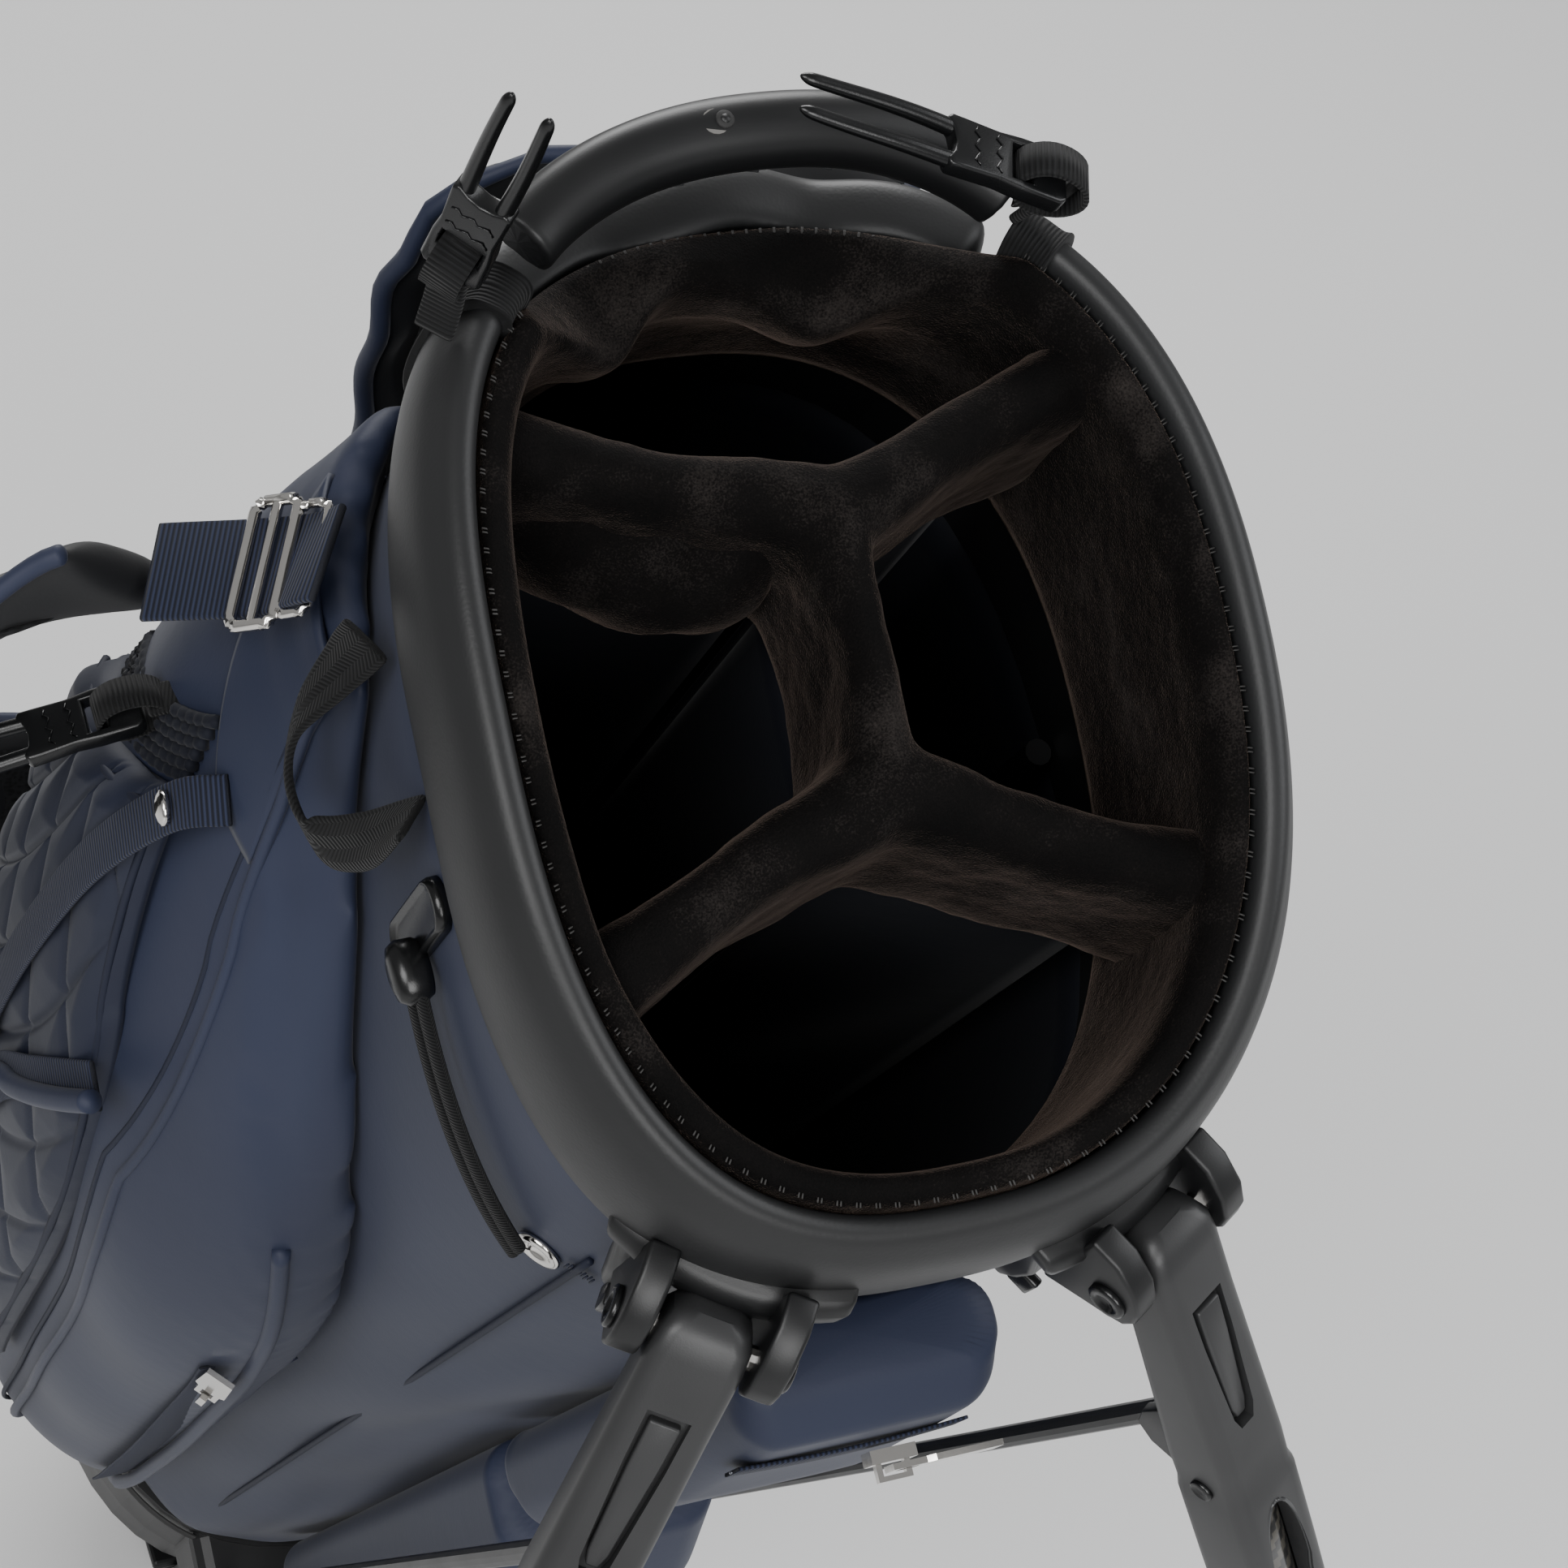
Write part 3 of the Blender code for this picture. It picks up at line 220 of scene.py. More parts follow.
def softshell(name, colour):
    surface = Surface(name, colour, 0.60, Sheen_Weight=0.05, Sheen_Roughness=0.35, Specular_IOR_Level=0.30)
    broad = surface.noise(9, 3)
    surface.colour(broad, [(0.30, tint(colour, 0.88)), (0.70, tint(colour, 1.12))])
    surface.bump(surface.noise(1500, 2, (1, 1, 0.45)), 0.00006, 0.45)
    surface.bump(surface.noise(120, 3), 0.0004, 0.20)
    return surface.material


def velour():
    # The ramp's low and high stops are shaded and brightened copies of the plush, spread in noise patches: painted
    # shade and painted sheen on the pile.
    dark, mid, painted_sheen = (0.0006, 0.0005, 0.0005), (0.0022, 0.0017, 0.0016), (0.0210, 0.0178, 0.0162)
    surface = Surface("plush_velour", mid, 0.92, Sheen_Weight=0.32, Sheen_Roughness=0.18,
                      Sheen_Tint=(0.36, 0.27, 0.22, 1), Specular_IOR_Level=0.10)
    sheen_patches = surface.noise(46, 5)
    fleck = surface.noise(1900, 3)
    mixed = surface.math("ADD", surface.math("MULTIPLY", sheen_patches, 0.62), surface.math("MULTIPLY", fleck, 0.38))
    surface.colour(mixed, [(0.36, dark), (0.52, mid), (0.72, painted_sheen)])
    surface.bump(fleck, 0.00045, 0.8)
    surface.bump(surface.noise(160, 4), 0.0012, 0.5)
    return surface.material


def leather():
    surface = Surface("collar_leather", CHARCOAL, 0.42, Specular_IOR_Level=0.30)
    surface.colour(surface.noise(14, 3), [(0.30, tint(CHARCOAL, 0.86)), (0.72, tint(CHARCOAL, 1.15))])
    surface.bump(surface.cells(1300), 0.00008, 0.35)
    surface.bump(surface.noise(60, 3), 0.0006, 0.22)
    surface.rough(surface.noise(35, 3), 0.40, 0.52)
    return surface.material


def moulding(name="satin_moulding", colour=MOULDED, roughness=0.40):
    surface = Surface(name, colour, roughness, Specular_IOR_Level=0.36)
    surface.colour(surface.noise(22, 3), [(0.30, tint(colour, 0.85)), (0.70, tint(colour, 1.2))])
    surface.bump(surface.noise(2600, 2), 0.00005, 0.4)
    surface.rough(surface.noise(40, 4), roughness - 0.05, roughness + 0.08)
    return surface.material


def grosgrain(name="black_grosgrain", colour=WEBBING, period=0.0011):
    surface = Surface(name, colour, 0.78, Sheen_Weight=0.04, Specular_IOR_Level=0.2)
    ribs = surface.waves(period)
    surface.colour(ribs, [(0.15, tint(colour, 0.45)), (0.85, tint(colour, 2.1))])
    surface.bump(ribs, 0.00035, 0.9)
    surface.bump(surface.noise(1600, 2), 0.0001, 0.3)
    return surface.material


def herringbone(name="twill_webbing", period=0.0010):
    surface = Surface(name, WEBBING, 0.8, Sheen_Weight=0.04, Specular_IOR_Level=0.2)
    right = surface.waves(period, math.radians(38))
    left = surface.waves(period, math.radians(-38))
    split = surface.node("ShaderNodeSeparateXYZ")
    surface.link(surface.uv, split.inputs[0])
    across = surface.math("FRACT", surface.math("MULTIPLY", split.outputs[1], 160))
    side = surface.math("GREATER_THAN", across, 0.5)
    blend = surface.node("ShaderNodeMix")
    surface.link(side, blend.inputs[0])
    surface.link(right, blend.inputs[2])
    surface.link(left, blend.inputs[3])
    surface.colour(blend.outputs[0], [(0.15, tint(WEBBING, 0.5)), (0.85, tint(WEBBING, 2.6))])
    surface.bump(blend.outputs[0], 0.0003, 0.9)
    return surface.material


def mesh_cloth():
    """Open spacer mesh over dark foam: small round holes in rows."""
    colour = (0.0050, 0.0052, 0.0057)
    surface = Surface("strap_mesh", colour, 0.82, Sheen_Weight=0.04, Specular_IOR_Level=0.2)
    holes = surface.cells(620)
    surface.colour(holes, [(0.20, tint(colour, 0.25)), (0.50, tint(colour, 1.5))])
    surface.bump(holes, 0.0005, 0.8)
    return surface.material


def carbon():
    surface = Surface("carbon_weave", (0.012, 0.011, 0.010), 0.30, Coat_Weight=0.9, Coat_Roughness=0.06)
    split = surface.node("ShaderNodeSeparateXYZ")
    surface.link(surface.uv, split.inputs[0])
    along = surface.math("FLOOR", surface.math("MULTIPLY", split.outputs[0], 520))
    across = surface.math("FLOOR", surface.math("MULTIPLY", split.outputs[1], 520))
    step = surface.math("MODULO", surface.math("ADD", surface.math("ADD", along, across), 4000), 4)
    # The bright brownish tone on the over tows stands in for the fibres' anisotropic shine: painted reflection on
    # near-black carbon.
    over = surface.math("LESS_THAN", step, 1.5)
    surface.colour(over, [(0.2, (0.0045, 0.0042, 0.0040)), (0.8, (0.050, 0.045, 0.036))])
    surface.bump(over, 0.0002, 0.5)
    return surface.material


def metal(name="bright_metal", colour=(0.72, 0.70, 0.67), roughness=0.12):
    surface = Surface(name, colour, roughness, Metallic=1.0)
    surface.rough(surface.noise(300, 3), roughness * 0.7, roughness * 1.6)
    surface.bump(surface.noise(900, 2), 0.00002, 0.2)
    return surface.material


def rubber():
    surface = Surface("black_rubber", (0.008, 0.008, 0.008), 0.7)
    surface.bump(surface.noise(900, 3), 0.0002, 0.5)
    surface.rough(surface.noise(60, 3), 0.62, 0.80)
    return surface.material


def thread(name, colour):
    surface = Surface(name, colour, 0.65, Specular_IOR_Level=0.25)
    surface.bump(surface.noise(2500, 2), 0.0001, 0.5)
    return surface.material


LOOKS = {
    "navy_fabric": softshell("navy_softshell", NAVY),
    "quilted_fabric": softshell("navy_quilting", tint(NAVY, 0.60)),
    "inner_fabric": softshell("inner_nylon_shaded", INTERIOR_SHADE_NAVY),
    "collar_leather": leather(),
    "plush_lining": velour(),
    "black_moulding": moulding(),
    "black_webbing": grosgrain(),
    "twill_webbing": herringbone(),
    "carbon_tube": carbon(),
    "black_rubber": rubber(),
    "bright_metal": metal(),
    "dim_thread": thread("dim_thread", (0.030, 0.029, 0.028)),
    "dark_satin": moulding("dark_satin", (0.0210, 0.0213, 0.0220), 0.40),
    "glossy_moulding": moulding("glossy_moulding", (0.0042, 0.0044, 0.0047), 0.25),
    "bright_moulding": moulding("bright_moulding", (0.030, 0.031, 0.032), 0.28),
    "dim_metal": metal("dim_metal", (0.20, 0.21, 0.24), 0.30),
    "navy_tape": grosgrain("navy_tape", tint(NAVY, 0.55), 0.0014),
    "navy_ribbing": grosgrain("navy_ribbing", tint(NAVY, 0.50), 0.0018),
    "strap_mesh": mesh_cloth(),
    "strap_skin": softshell("strap_skin", (0.0085, 0.0088, 0.0098)),
    "cord_weave": herringbone("cord_weave", 0.0007),
    "navy_thread": thread("navy_thread", tint(NAVY, 0.55)),
}


# Mesh tools
def finish_piece(item, look, body):
    item.data.materials.append(LOOKS[look])
    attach(item, body)
    return item


def side_name(side):
    return "left" if side < 0 else "right"


def clamp(value):
    return min(max(value, 0.0), 1.0)


def mesh_object(name, verts, faces, matrix=None):
    place = matrix or BAG
    mesh = bpy.data.meshes.new(name)
    mesh.from_pydata([tuple(place @ Vector(v)) for v in verts], [], faces)
    item = bpy.data.objects.new(name, mesh)
    bpy.context.scene.collection.objects.link(item)
    return item


def outward(item):
    draft = bmesh.new()
    draft.from_mesh(item.data)
    bmesh.ops.recalc_face_normals(draft, faces=draft.faces)
    draft.to_mesh(item.data)
    draft.free()
    item.data.polygons.foreach_set("use_smooth", [True] * len(item.data.polygons))
    return item


def along_lengths(points):
    total = [0.0]
    for before, after in zip(points, points[1:]):
        total.append(total[-1] + (after - before).length)
    return total


def skin(name, rows, look, body="bag", loop=False, matrix=None):
    """Skin equal closed rows of points. The ends are capped, or loop joins the last row to the first."""
    wide = len(rows[0])
    count = len(rows) if loop else len(rows) - 1
    faces = []
    for i in range(count):
        here, there = i * wide, ((i + 1) % len(rows)) * wide
        for j in range(wide):
            k = (j + 1) % wide
            faces.append((here + j, here + k, there + k, there + j))
    quads = len(faces)
    if not loop:
        last = (len(rows) - 1) * wide
        faces.append(tuple(reversed(range(wide))))
        faces.append(tuple(range(last, last + wide)))
    item = mesh_object(name, [p for row in rows for p in row], faces, matrix)
    along = along_lengths([row[0] for row in rows] + [rows[0][0]])
    around = along_lengths(list(rows[len(rows) // 2]) + [rows[len(rows) // 2][0]])
    layer = item.data.uv_layers.new(name="metres")
    for n in range(quads):
        i, j = divmod(n, wide)
        corners = ((i, j), (i, j + 1), (i + 1, j + 1), (i + 1, j))
        for loop_index, (a, b) in zip(item.data.polygons[n].loop_indices, corners):
            layer.data[loop_index].uv = (along[a], around[b])
    outward(item)
    return finish_piece(item, look, body)


def rows_along(path, profile_at, lift):
    """Place a profile of (side, height) at every point of the path."""
    rows = []
    for i, point in enumerate(path):
        before = path[max(i - 1, 0)]
        after = path[min(i + 1, len(path) - 1)]
        along = (after - before).normalized()
        up = lift[i] if isinstance(lift, list) else lift
        side = along.cross(up).normalized()
        rise = side.cross(along).normalized()
        profile = profile_at(i / (len(path) - 1)) if callable(profile_at) else profile_at
        rows.append([point + side * s + rise * h for s, h in profile])
    return rows


DOME_DEPTH, DOME_STEPS = 0.6, 3


def capped(rows):
    """Round the two ends of a sweep by drawing the last rows in to a dome."""

    def dome(end, neighbour):
        centre = sum(end, Vector()) / len(end)
        away = (centre - sum(neighbour, Vector()) / len(neighbour)).normalized()
        depth = min((p - centre).length for p in end) * DOME_DEPTH
        added = []
        for i in range(1, DOME_STEPS + 1):
            angle = math.pi / 2 * i / (DOME_STEPS + 0.35)
            across, ahead = math.cos(angle), away * depth * math.sin(angle)
            added.append([centre + (p - centre) * across + ahead for p in end])
        return added

    return dome(rows[0], rows[1])[::-1] + rows + dome(rows[-1], rows[-2])


def sweep(name, path, profile_at, look, lift=Vector((0, 0, 1)), domes=False):
    rows = rows_along(path, profile_at, lift)
    return skin(name, capped(rows) if domes else rows, look)


def rounded_profile(wide, tall, radius, steps=4):
    points = []
    for sx, sy, start in ((1, 1, 0), (-1, 1, 90), (-1, -1, 180), (1, -1, 270)):
        cx, cy = sx * (wide / 2 - radius), sy * (tall / 2 - radius)
        for i in range(steps + 1):
            angle = math.radians(start + 90 * i / steps)
            points.append((cx + radius * math.cos(angle), cy + radius * math.sin(angle)))
    return points


def circle(radius, count=16):
    turns = [2 * math.pi * i / count for i in range(count)]
    return [(radius * math.cos(turn), radius * math.sin(turn)) for turn in turns]


def smooth(points, count):
    """A curve through the points, resampled evenly."""
    keys = [Vector(p) for p in points]
    keys = [keys[0] * 2 - keys[1]] + keys + [keys[-1] * 2 - keys[-2]]
    fine = []
    for a, b, c, d in zip(keys, keys[1:], keys[2:], keys[3:]):
        for i in range(24):
            t = i / 24
            fine.append(0.5 * ((b * 2) + (c - a) * t + (a * 2 - b * 5 + c * 4 - d) * t * t
                               + (b * 3 - a - c * 3 + d) * t * t * t))
    fine.append(keys[-2])
    return resample(fine, count)


def resample(points, count):
    lengths = along_lengths(points)
    path = []
    j = 0
    for i in range(count):
        target = lengths[-1] * i / (count - 1)
        while j < len(points) - 2 and lengths[j + 1] < target:
            j += 1
        path.append(points[j].lerp(points[j + 1], (target - lengths[j]) / (lengths[j + 1] - lengths[j])))
    return path


def refine(item):
    modifier = item.modifiers.new("refine", "SUBSURF")
    modifier.levels = 1
    modifier.render_levels = 1
    return item


def apply_modifiers(item):
    depsgraph = bpy.context.evaluated_depsgraph_get()
    baked = bpy.data.meshes.new_from_object(item.evaluated_get(depsgraph))
    item.modifiers.clear()
    item.data = baked
    baked.polygons.foreach_set("use_smooth", [True] * len(baked.polygons))
    return item


def wave(point, scale, seed=0.0):
    return noise.noise(Vector(point) * scale + Vector((seed, seed * 1.7, seed * 0.6)))


# The bag's oval
def oval(a, b, angle):
    c, s = math.cos(angle), math.sin(angle)
    power = 2 / OVAL_POWER
    return Vector((math.copysign(abs(c) ** power, c) * a, math.copysign(abs(s) ** power, s) * b, 0))


def rim_height(y):
    return RIM_Z + 0.105 * y - 0.019 * (y / 0.110) ** 2


def arc(a, b, start, end, count):
    fine = [oval(a, b, math.radians(start + (end - start) * i / 600)) for i in range(601)]
    return resample(fine, count)


def shell_size(z):
    share = min(max(z / HINGE.z, 0.0), 1.0)
    a = SHELL_BASE_A + (SHELL_TOP_A - SHELL_BASE_A) * share
    b = SHELL_BASE_B + (SHELL_TOP_B - SHELL_BASE_B) * share
    return a, b


def shell_point(angle, z, away=0.0):
    a, b = shell_size(z)
    here = oval(a, b, math.radians(angle))
    nudge = oval(a, b, math.radians(angle + 0.5)) - oval(a, b, math.radians(angle - 0.5))
    normal = Vector((nudge.y, -nudge.x, 0)).normalized()
    spot = here + normal * away
    return Vector((spot.x, spot.y, z))


# Mouth
def mouth_path(start, end, count, inward=0.0, drop=0.0):
    spots = arc(MOUTH_A - inward, MOUTH_B - inward, start, end, count)
    return [Vector((p.x, p.y, rim_height(p.y) - drop)) for p in spots]


COLLAR_OUTLINE = [
    (-0.0060, -0.0062), (-0.0057, -0.0026), (-0.0041, -0.0003), (-0.0018, 0.0005), (0.0004, -0.0002),
    (0.0020, -0.0020), (0.0033, -0.0042), (0.0050, -0.0066), (0.0066, -0.0110), (0.0077, -0.0180),
    (0.0080, -0.0260), (0.0074, -0.0340), (0.0056, -0.0405), (0.0024, -0.0438), (-0.0030, -0.0434),
    (-0.0058, -0.0400), (-0.0060, -0.0250), (-0.0060, -0.0120),
]


def collar_profile(share, grow=0.0):
    """The padded band in section: (outward, up) over a narrow ridge, a valley and a full outer face."""
    swell = 1 + 0.035 * math.sin(share * 21) + 0.02 * math.sin(share * 47 + 1)
    profile = []
    for s, h in COLLAR_OUTLINE:
        wide = s * swell if s > 0.004 else s
        middle = h + COLLAR_TALL / 2
        profile.append((wide + math.copysign(grow, s), h + math.copysign(grow, middle)))
    return profile


def build_collar():
    path = mouth_path(COLLAR_START, COLLAR_END, 150)
    collar = sweep("collar_band", path, collar_profile, "collar_leather")
    refine(collar)
    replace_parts(collar, "collar_pad")


def build_bindings():
    """Ribbed tape folded over both ends of the collar, with a rolled edge on each side."""
    whole = mouth_path(COLLAR_START, COLLAR_END, 90)
    for name, part in (("left", whole[:3]), ("right", whole[-3:])):
        path = resample(part, 26)

        def profile(share):
            edge = 0.0007 * math.exp(-((min(share, 1 - share) / 0.10) ** 2))
            return collar_profile(0.3, 0.0013 + edge)

        tape = sweep(f"binding_tape_{name}", path, profile, "black_webbing")
        refine(tape)
        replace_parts(tape, f"handle_binding_{name}")


def add_tube(verts, faces, path, radius, count):
    base = len(verts)
    for i, point in enumerate(path):
        along = (path[min(i + 1, len(path) - 1)] - path[max(i - 1, 0)]).normalized()
        side = along.orthogonal().normalized()
        rise = along.cross(side)
        for j in range(count):
            angle = 2 * math.pi * j / count
            verts.append(point + side * radius * math.cos(angle) + rise * radius * math.sin(angle))
    for i in range(len(path) - 1):
        for j in range(count):
            k = (j + 1) % count
            here, there = base + i * count, base + (i + 1) * count
            faces.append((here + j, here + k, there + k, there + j))
    faces.append(tuple(reversed(range(base, base + count))))
    last = base + (len(path) - 1) * count
    faces.append(tuple(range(last, last + count)))


def tubes(name, cords, count, look, body="bag", matrix=None):
    """One piece made of round cords, each a (path, radius) pair."""
    verts, faces = [], []
    for path, radius in cords:
        add_tube(verts, faces, path, radius, count)
    return finish_piece(outward(mesh_object(name, verts, faces, matrix)), look, body)


def stitch_row(name, path, inward_at):
    """Short threads laid across a seam at every point of its path."""
    cords = []
    for i in range(1, len(path) - 1):
        across = inward_at(path[i]) * STITCH_LONG / 2
        shift = (path[i + 1] - path[i - 1]).normalized() * (0.0007 if i % 2 else -0.0007)
        start, end = path[i] + shift - across, path[i] + shift + across
        cords.append(([start, start.lerp(end, 0.5) + Vector((0, 0, STITCH_RISE)), end], STITCH_THICK))
    return tubes(name, cords, 5, "dim_thread")


def towards_middle(point):
    return Vector((-point.x / MOUTH_A, -point.y / MOUTH_B, -0.5)).normalized()


def build_stitches():
    path = mouth_path(COLLAR_START + 2, COLLAR_END - 2, 230, inward=SEAM_IN + 0.0012, drop=0.0034)
    stitch_row("collar_stitches", path, towards_middle)
    lip = mouth_path(COLLAR_END - 358, COLLAR_START - 2, 70, inward=0.0082, drop=0.0218)
    stitch_row("lip_stitches", lip, towards_middle)


ROLL_OUTLINE = [
    (0.0061, 0.0050), (0.0074, 0.0026), (0.0098, 0.0020), (0.0124, 0.0036), (0.0142, 0.0078),
    (0.0147, 0.0150),
    (0.0143, 0.0260), (0.0143, 0.0400), (0.0144, 0.0560), (0.0146, 0.0700), (0.0148, 0.0830),
    (0.0066, 0.0835), (0.0062, 0.0300),
]


def build_lining():
    """Plush band: a soft roll under the seam, then a wall that falls into the bag; two lobes at the back."""
    rows = []
    count = 200
    for i in range(count):
        angle = 2 * math.pi * i / count
        degrees = math.degrees(angle)
        back = max(0.0, 1 - (abs(degrees - 90) / 42) ** 4) if abs(degrees - 90) < 42 else 0.0
        lobe = back * (0.5 + 0.5 * math.cos(math.radians((degrees - 76) * 9.0)))
        row = []
        for n, (inward, drop) in enumerate(ROLL_OUTLINE):
            inside = 1.0 if 1 < n < 8 else 0.0
            reach = inward + inside * (0.0050 * back + 0.0110 * lobe * math.exp(-((n - 4) / 2.4) ** 2))
            p = oval(MOUTH_A - reach, MOUTH_B - reach, angle)
            spot = p * (1 - wave((p.x * 30, p.y * 30, drop * 40), 1.0, 3) * 0.009 * inside)
            low = drop + 0.0175 * back * (1 if n < 7 or n == 12 else 0) + 0.010 * lobe * inside
            row.append(Vector((spot.x, spot.y, rim_height(p.y) - low)))
        rows.append(row)
    lining = skin("rim_plush", rows, "plush_lining", loop=True)
    refine(lining)
    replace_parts(lining, "rim_lining")


def build_back_lip():
    """The low leather lip under the handle, wavy where nothing holds it out."""
    path = []
    spots = mouth_path(COLLAR_END - 357, COLLAR_START - 3, 60, inward=0.002, drop=0.0335)
    for i, p in enumerate(spots):
        share = i / (len(spots) - 1)
        calm = math.sin(math.pi * share)
        sway, bob = 0.0016 * calm * math.sin(share * 17), 0.0022 * calm * math.sin(share * 13 + 1)
        path.append(p + Vector((0, sway, bob)))
    profile = [(-0.0046, 0.0075), (-0.0050, 0.0105), (-0.0036, 0.0122), (-0.0008, 0.0128), (0.0040, 0.0126),
               (0.0085, 0.0118), (0.0118, 0.0096), (0.0128, 0.0050), (0.0122, -0.0040), (0.0096, -0.0100),
               (0.0030, -0.0124), (-0.0030, -0.0120), (-0.0048, -0.0080), (-0.0048, 0.0)]
    lip = sweep("back_lip", path, profile, "collar_leather", domes=True)
    refine(lip)
    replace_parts(lip, "back_lip_pad")


# Dividers
def divider_top(y):
    return rim_height(y) - DIVIDER_DROP


def divider_paths():
    back = [Vector((-0.0755, 0.0660, 0)), JUNCTION_BACK, Vector((0.0755, 0.0660, 0))]
    front = [Vector((-0.0775, -0.0570, 0)), JUNCTION_FRONT, Vector((0.0775, -0.0570, 0))]
    return back, front


ARM_OUTLINE = ((-1, 0.15), (-1, 0.45), (-1.02, 0.78), (-0.90, 0.90), (-0.55, 0.975), (0, 1), (0.55, 0.975),
               (0.90, 0.90), (1.02, 0.78), (1, 0.45), (1, 0.15), (0.75, 0.03), (0, 0), (-0.75, 0.03))


def arm_rows(start, end, half, flare):
    """One padded arm: a tall rounded section, fuller where it meets its neighbours."""
    rows = []
    along = (end - start).normalized()
    side = Vector((-along.y, along.x, 0))
    for i in range(17):
        share = i / 16
        centre = start.lerp(end, share)
        sway = 0.0012 * math.sin(math.pi * share) * math.sin(share * 5 + start.x * 90 + end.y * 70)
        wide = half + flare * (2 * share - 1) ** 4 + 0.0005 * math.sin(share * 9 + start.x * 60)
        top = divider_top(centre.y) - 0.0022 * math.sin(math.pi * share)
        low = divider_top(centre.y) - 0.060
        rows.append([centre + side * (s * wide + sway) + Vector((0, 0, low + (top - low) * h))
                     for s, h in ARM_OUTLINE])
    return rows


def build_dividers():
    """All arms are fused and softened so that the plush flows through both junctions."""
    back, front = divider_paths()
    parts = []
    for n, (start, end, half, flare) in enumerate((
        (back[1], back[0], 0.0088, 0.0026),
        (back[1], back[2], 0.0084, 0.0024),
        (back[1], front[1], 0.0066, 0.0018),
        (front[1], front[0], 0.0086, 0.0026),
        (front[1], front[2], 0.0086, 0.0024),
    )):
        parts.append(plain_solid(f"divider_arm_{n}", arm_rows(start, end, half, flare), BAG))
    whole = join_solids("divider_plush", parts)
    remesh(whole, 0.0020, smoothing=16)
    ruffle(whole, ((55, 0.0010, 1), (160, 0.00035, 2)))
    finish_piece(whole, "plush_lining", "bag")
    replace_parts(whole, "divider_back", "divider_front", "divider_spine")


def thin_cloth(name, grid, thick, look):
    """A closed thin sheet from a grid of points."""
    rows, wide = len(grid), len(grid[0])
    across = (grid[0][1] - grid[0][0]).cross(grid[1][0] - grid[0][0]).normalized() * thick
    verts = [p for row in grid for p in row] + [p + across for row in grid for p in row]
    base = rows * wide
    faces = []
    for i in range(rows - 1):
        for j in range(wide - 1):
            a, b, c, d = i * wide + j, i * wide + j + 1, (i + 1) * wide + j + 1, (i + 1) * wide + j
            faces += [(a, b, c, d), (base + d, base + c, base + b, base + a)]
    rim = list(range(wide)) + [i * wide + wide - 1 for i in range(1, rows)]
    rim += [(rows - 1) * wide + j for j in range(wide - 2, -1, -1)]
    rim += [i * wide for i in range(rows - 2, 0, -1)]
    for a, b in zip(rim, rim[1:] + rim[:1]):
        faces.append((a, base + a, base + b, b))
    item = outward(mesh_object(name, verts, faces))
    finish_piece(item, look, "bag")
    return item


def build_curtains():
    """Thin walls hung under the padded arms, one to each arm, down to the base."""
    back, front = divider_paths()
    walls = {"back_left": (back[1], back[0]), "back_right": (back[1], back[2]), "middle": (back[1], front[1]),
             "front_left": (front[1], front[0]), "front_right": (front[1], front[2])}
    first = None
    for name, (start, end) in walls.items():
        along = (end - start).normalized()
        side = Vector((-along.y, along.x, 0))
        length = (end - start).length - (0.006 if name == "middle" else 0.012)
        grid = []
        for i in range(40):
            fall = i / 39
            row = []
            for j in range(14):
                share = j / 13
                spot = start + along * (0.003 + (length - 0.003) * share)
                spot = Vector((spot.x * (1 - 0.02 * fall), spot.y * (1 - 0.12 * fall), 0))
                top = divider_top(spot.y) - 0.056
                ease = math.sin(math.pi * share) * min(1, fall * 6)
                ripple = 0.0026 * ease * math.sin(fall * 23 + share * 5 + start.y * 50)
                row.append(spot + side * ripple + Vector((0, 0, top + (CURTAIN_BOTTOM - top) * fall)))
            grid.append(row)
        # The walls are navy cloth drawn in the near-black interior colour: painted shade.
        item = thin_cloth(f"curtain_{name}", grid, CURTAIN_THICK, "inner_fabric")
        first = first or item
    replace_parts(first, "divider_curtain")


def build_flap():
    """A loose plush flap that sags from the left back arm in two soft folds."""
    back = divider_paths()[0]
    start, end = back[0].lerp(back[1], 0.12), back[0].lerp(back[1], 0.86)
    forward = Vector((0.10, -1, 0)).normalized()
    grid = []
    for i in range(20):
        fall = i / 19
        row = []
        for j in range(30):
            share = j / 29
            spot = start.lerp(end, share)
            sag = math.sin(math.pi * share) ** 0.7
            out = 0.0085 + (0.0040 + 0.0120 * sag) * math.sin(fall * 2.6)
            down = 0.018 + 0.034 * fall + 0.006 * sag * fall + 0.0016 * math.sin(share * 19 + fall * 7)
            row.append(spot + forward * out + Vector((0, 0, divider_top(spot.y) - down)))
        grid.append(row)
    thin_cloth("divider_flap", grid, FLAP_THICK, "plush_lining")


def join_solids(name, parts):
    verts, faces = [], []
    for part in parts:
        base = len(verts)
        verts += [v.co.copy() for v in part.data.vertices]
        faces += [tuple(base + i for i in polygon.vertices) for polygon in part.data.polygons]
        bpy.data.objects.remove(part, do_unlink=True)
    return outward(mesh_object(name, verts, faces, Matrix.Identity(4)))


def remesh(item, voxel, smoothing=0):
    modifier = item.modifiers.new("remesh", "REMESH")
    modifier.mode = "VOXEL"
    modifier.voxel_size = voxel
    if smoothing:
        soften = item.modifiers.new("soften", "SMOOTH")
        soften.factor = 0.5
        soften.iterations = smoothing
    return apply_modifiers(item)


def ruffle(item, layers):
    """Move the surface in and out along its normals by layers of (scale, depth, seed)."""
    moves = []
    for vertex in item.data.vertices:
        shift = sum(wave(vertex.co, scale, seed) * depth for scale, depth, seed in layers)
        moves.append(vertex.co + vertex.normal * shift)
    for vertex, spot in zip(item.data.vertices, moves):
        vertex.co = spot
    item.data.update()


# Moulded parts
def bevelled(item, width, segments, angle):
    modifier = item.modifiers.new("rounded", "BEVEL")
    modifier.width = width
    modifier.segments = segments
    modifier.limit_method = "ANGLE"
    modifier.angle_limit = math.radians(angle)
    return apply_modifiers(item)


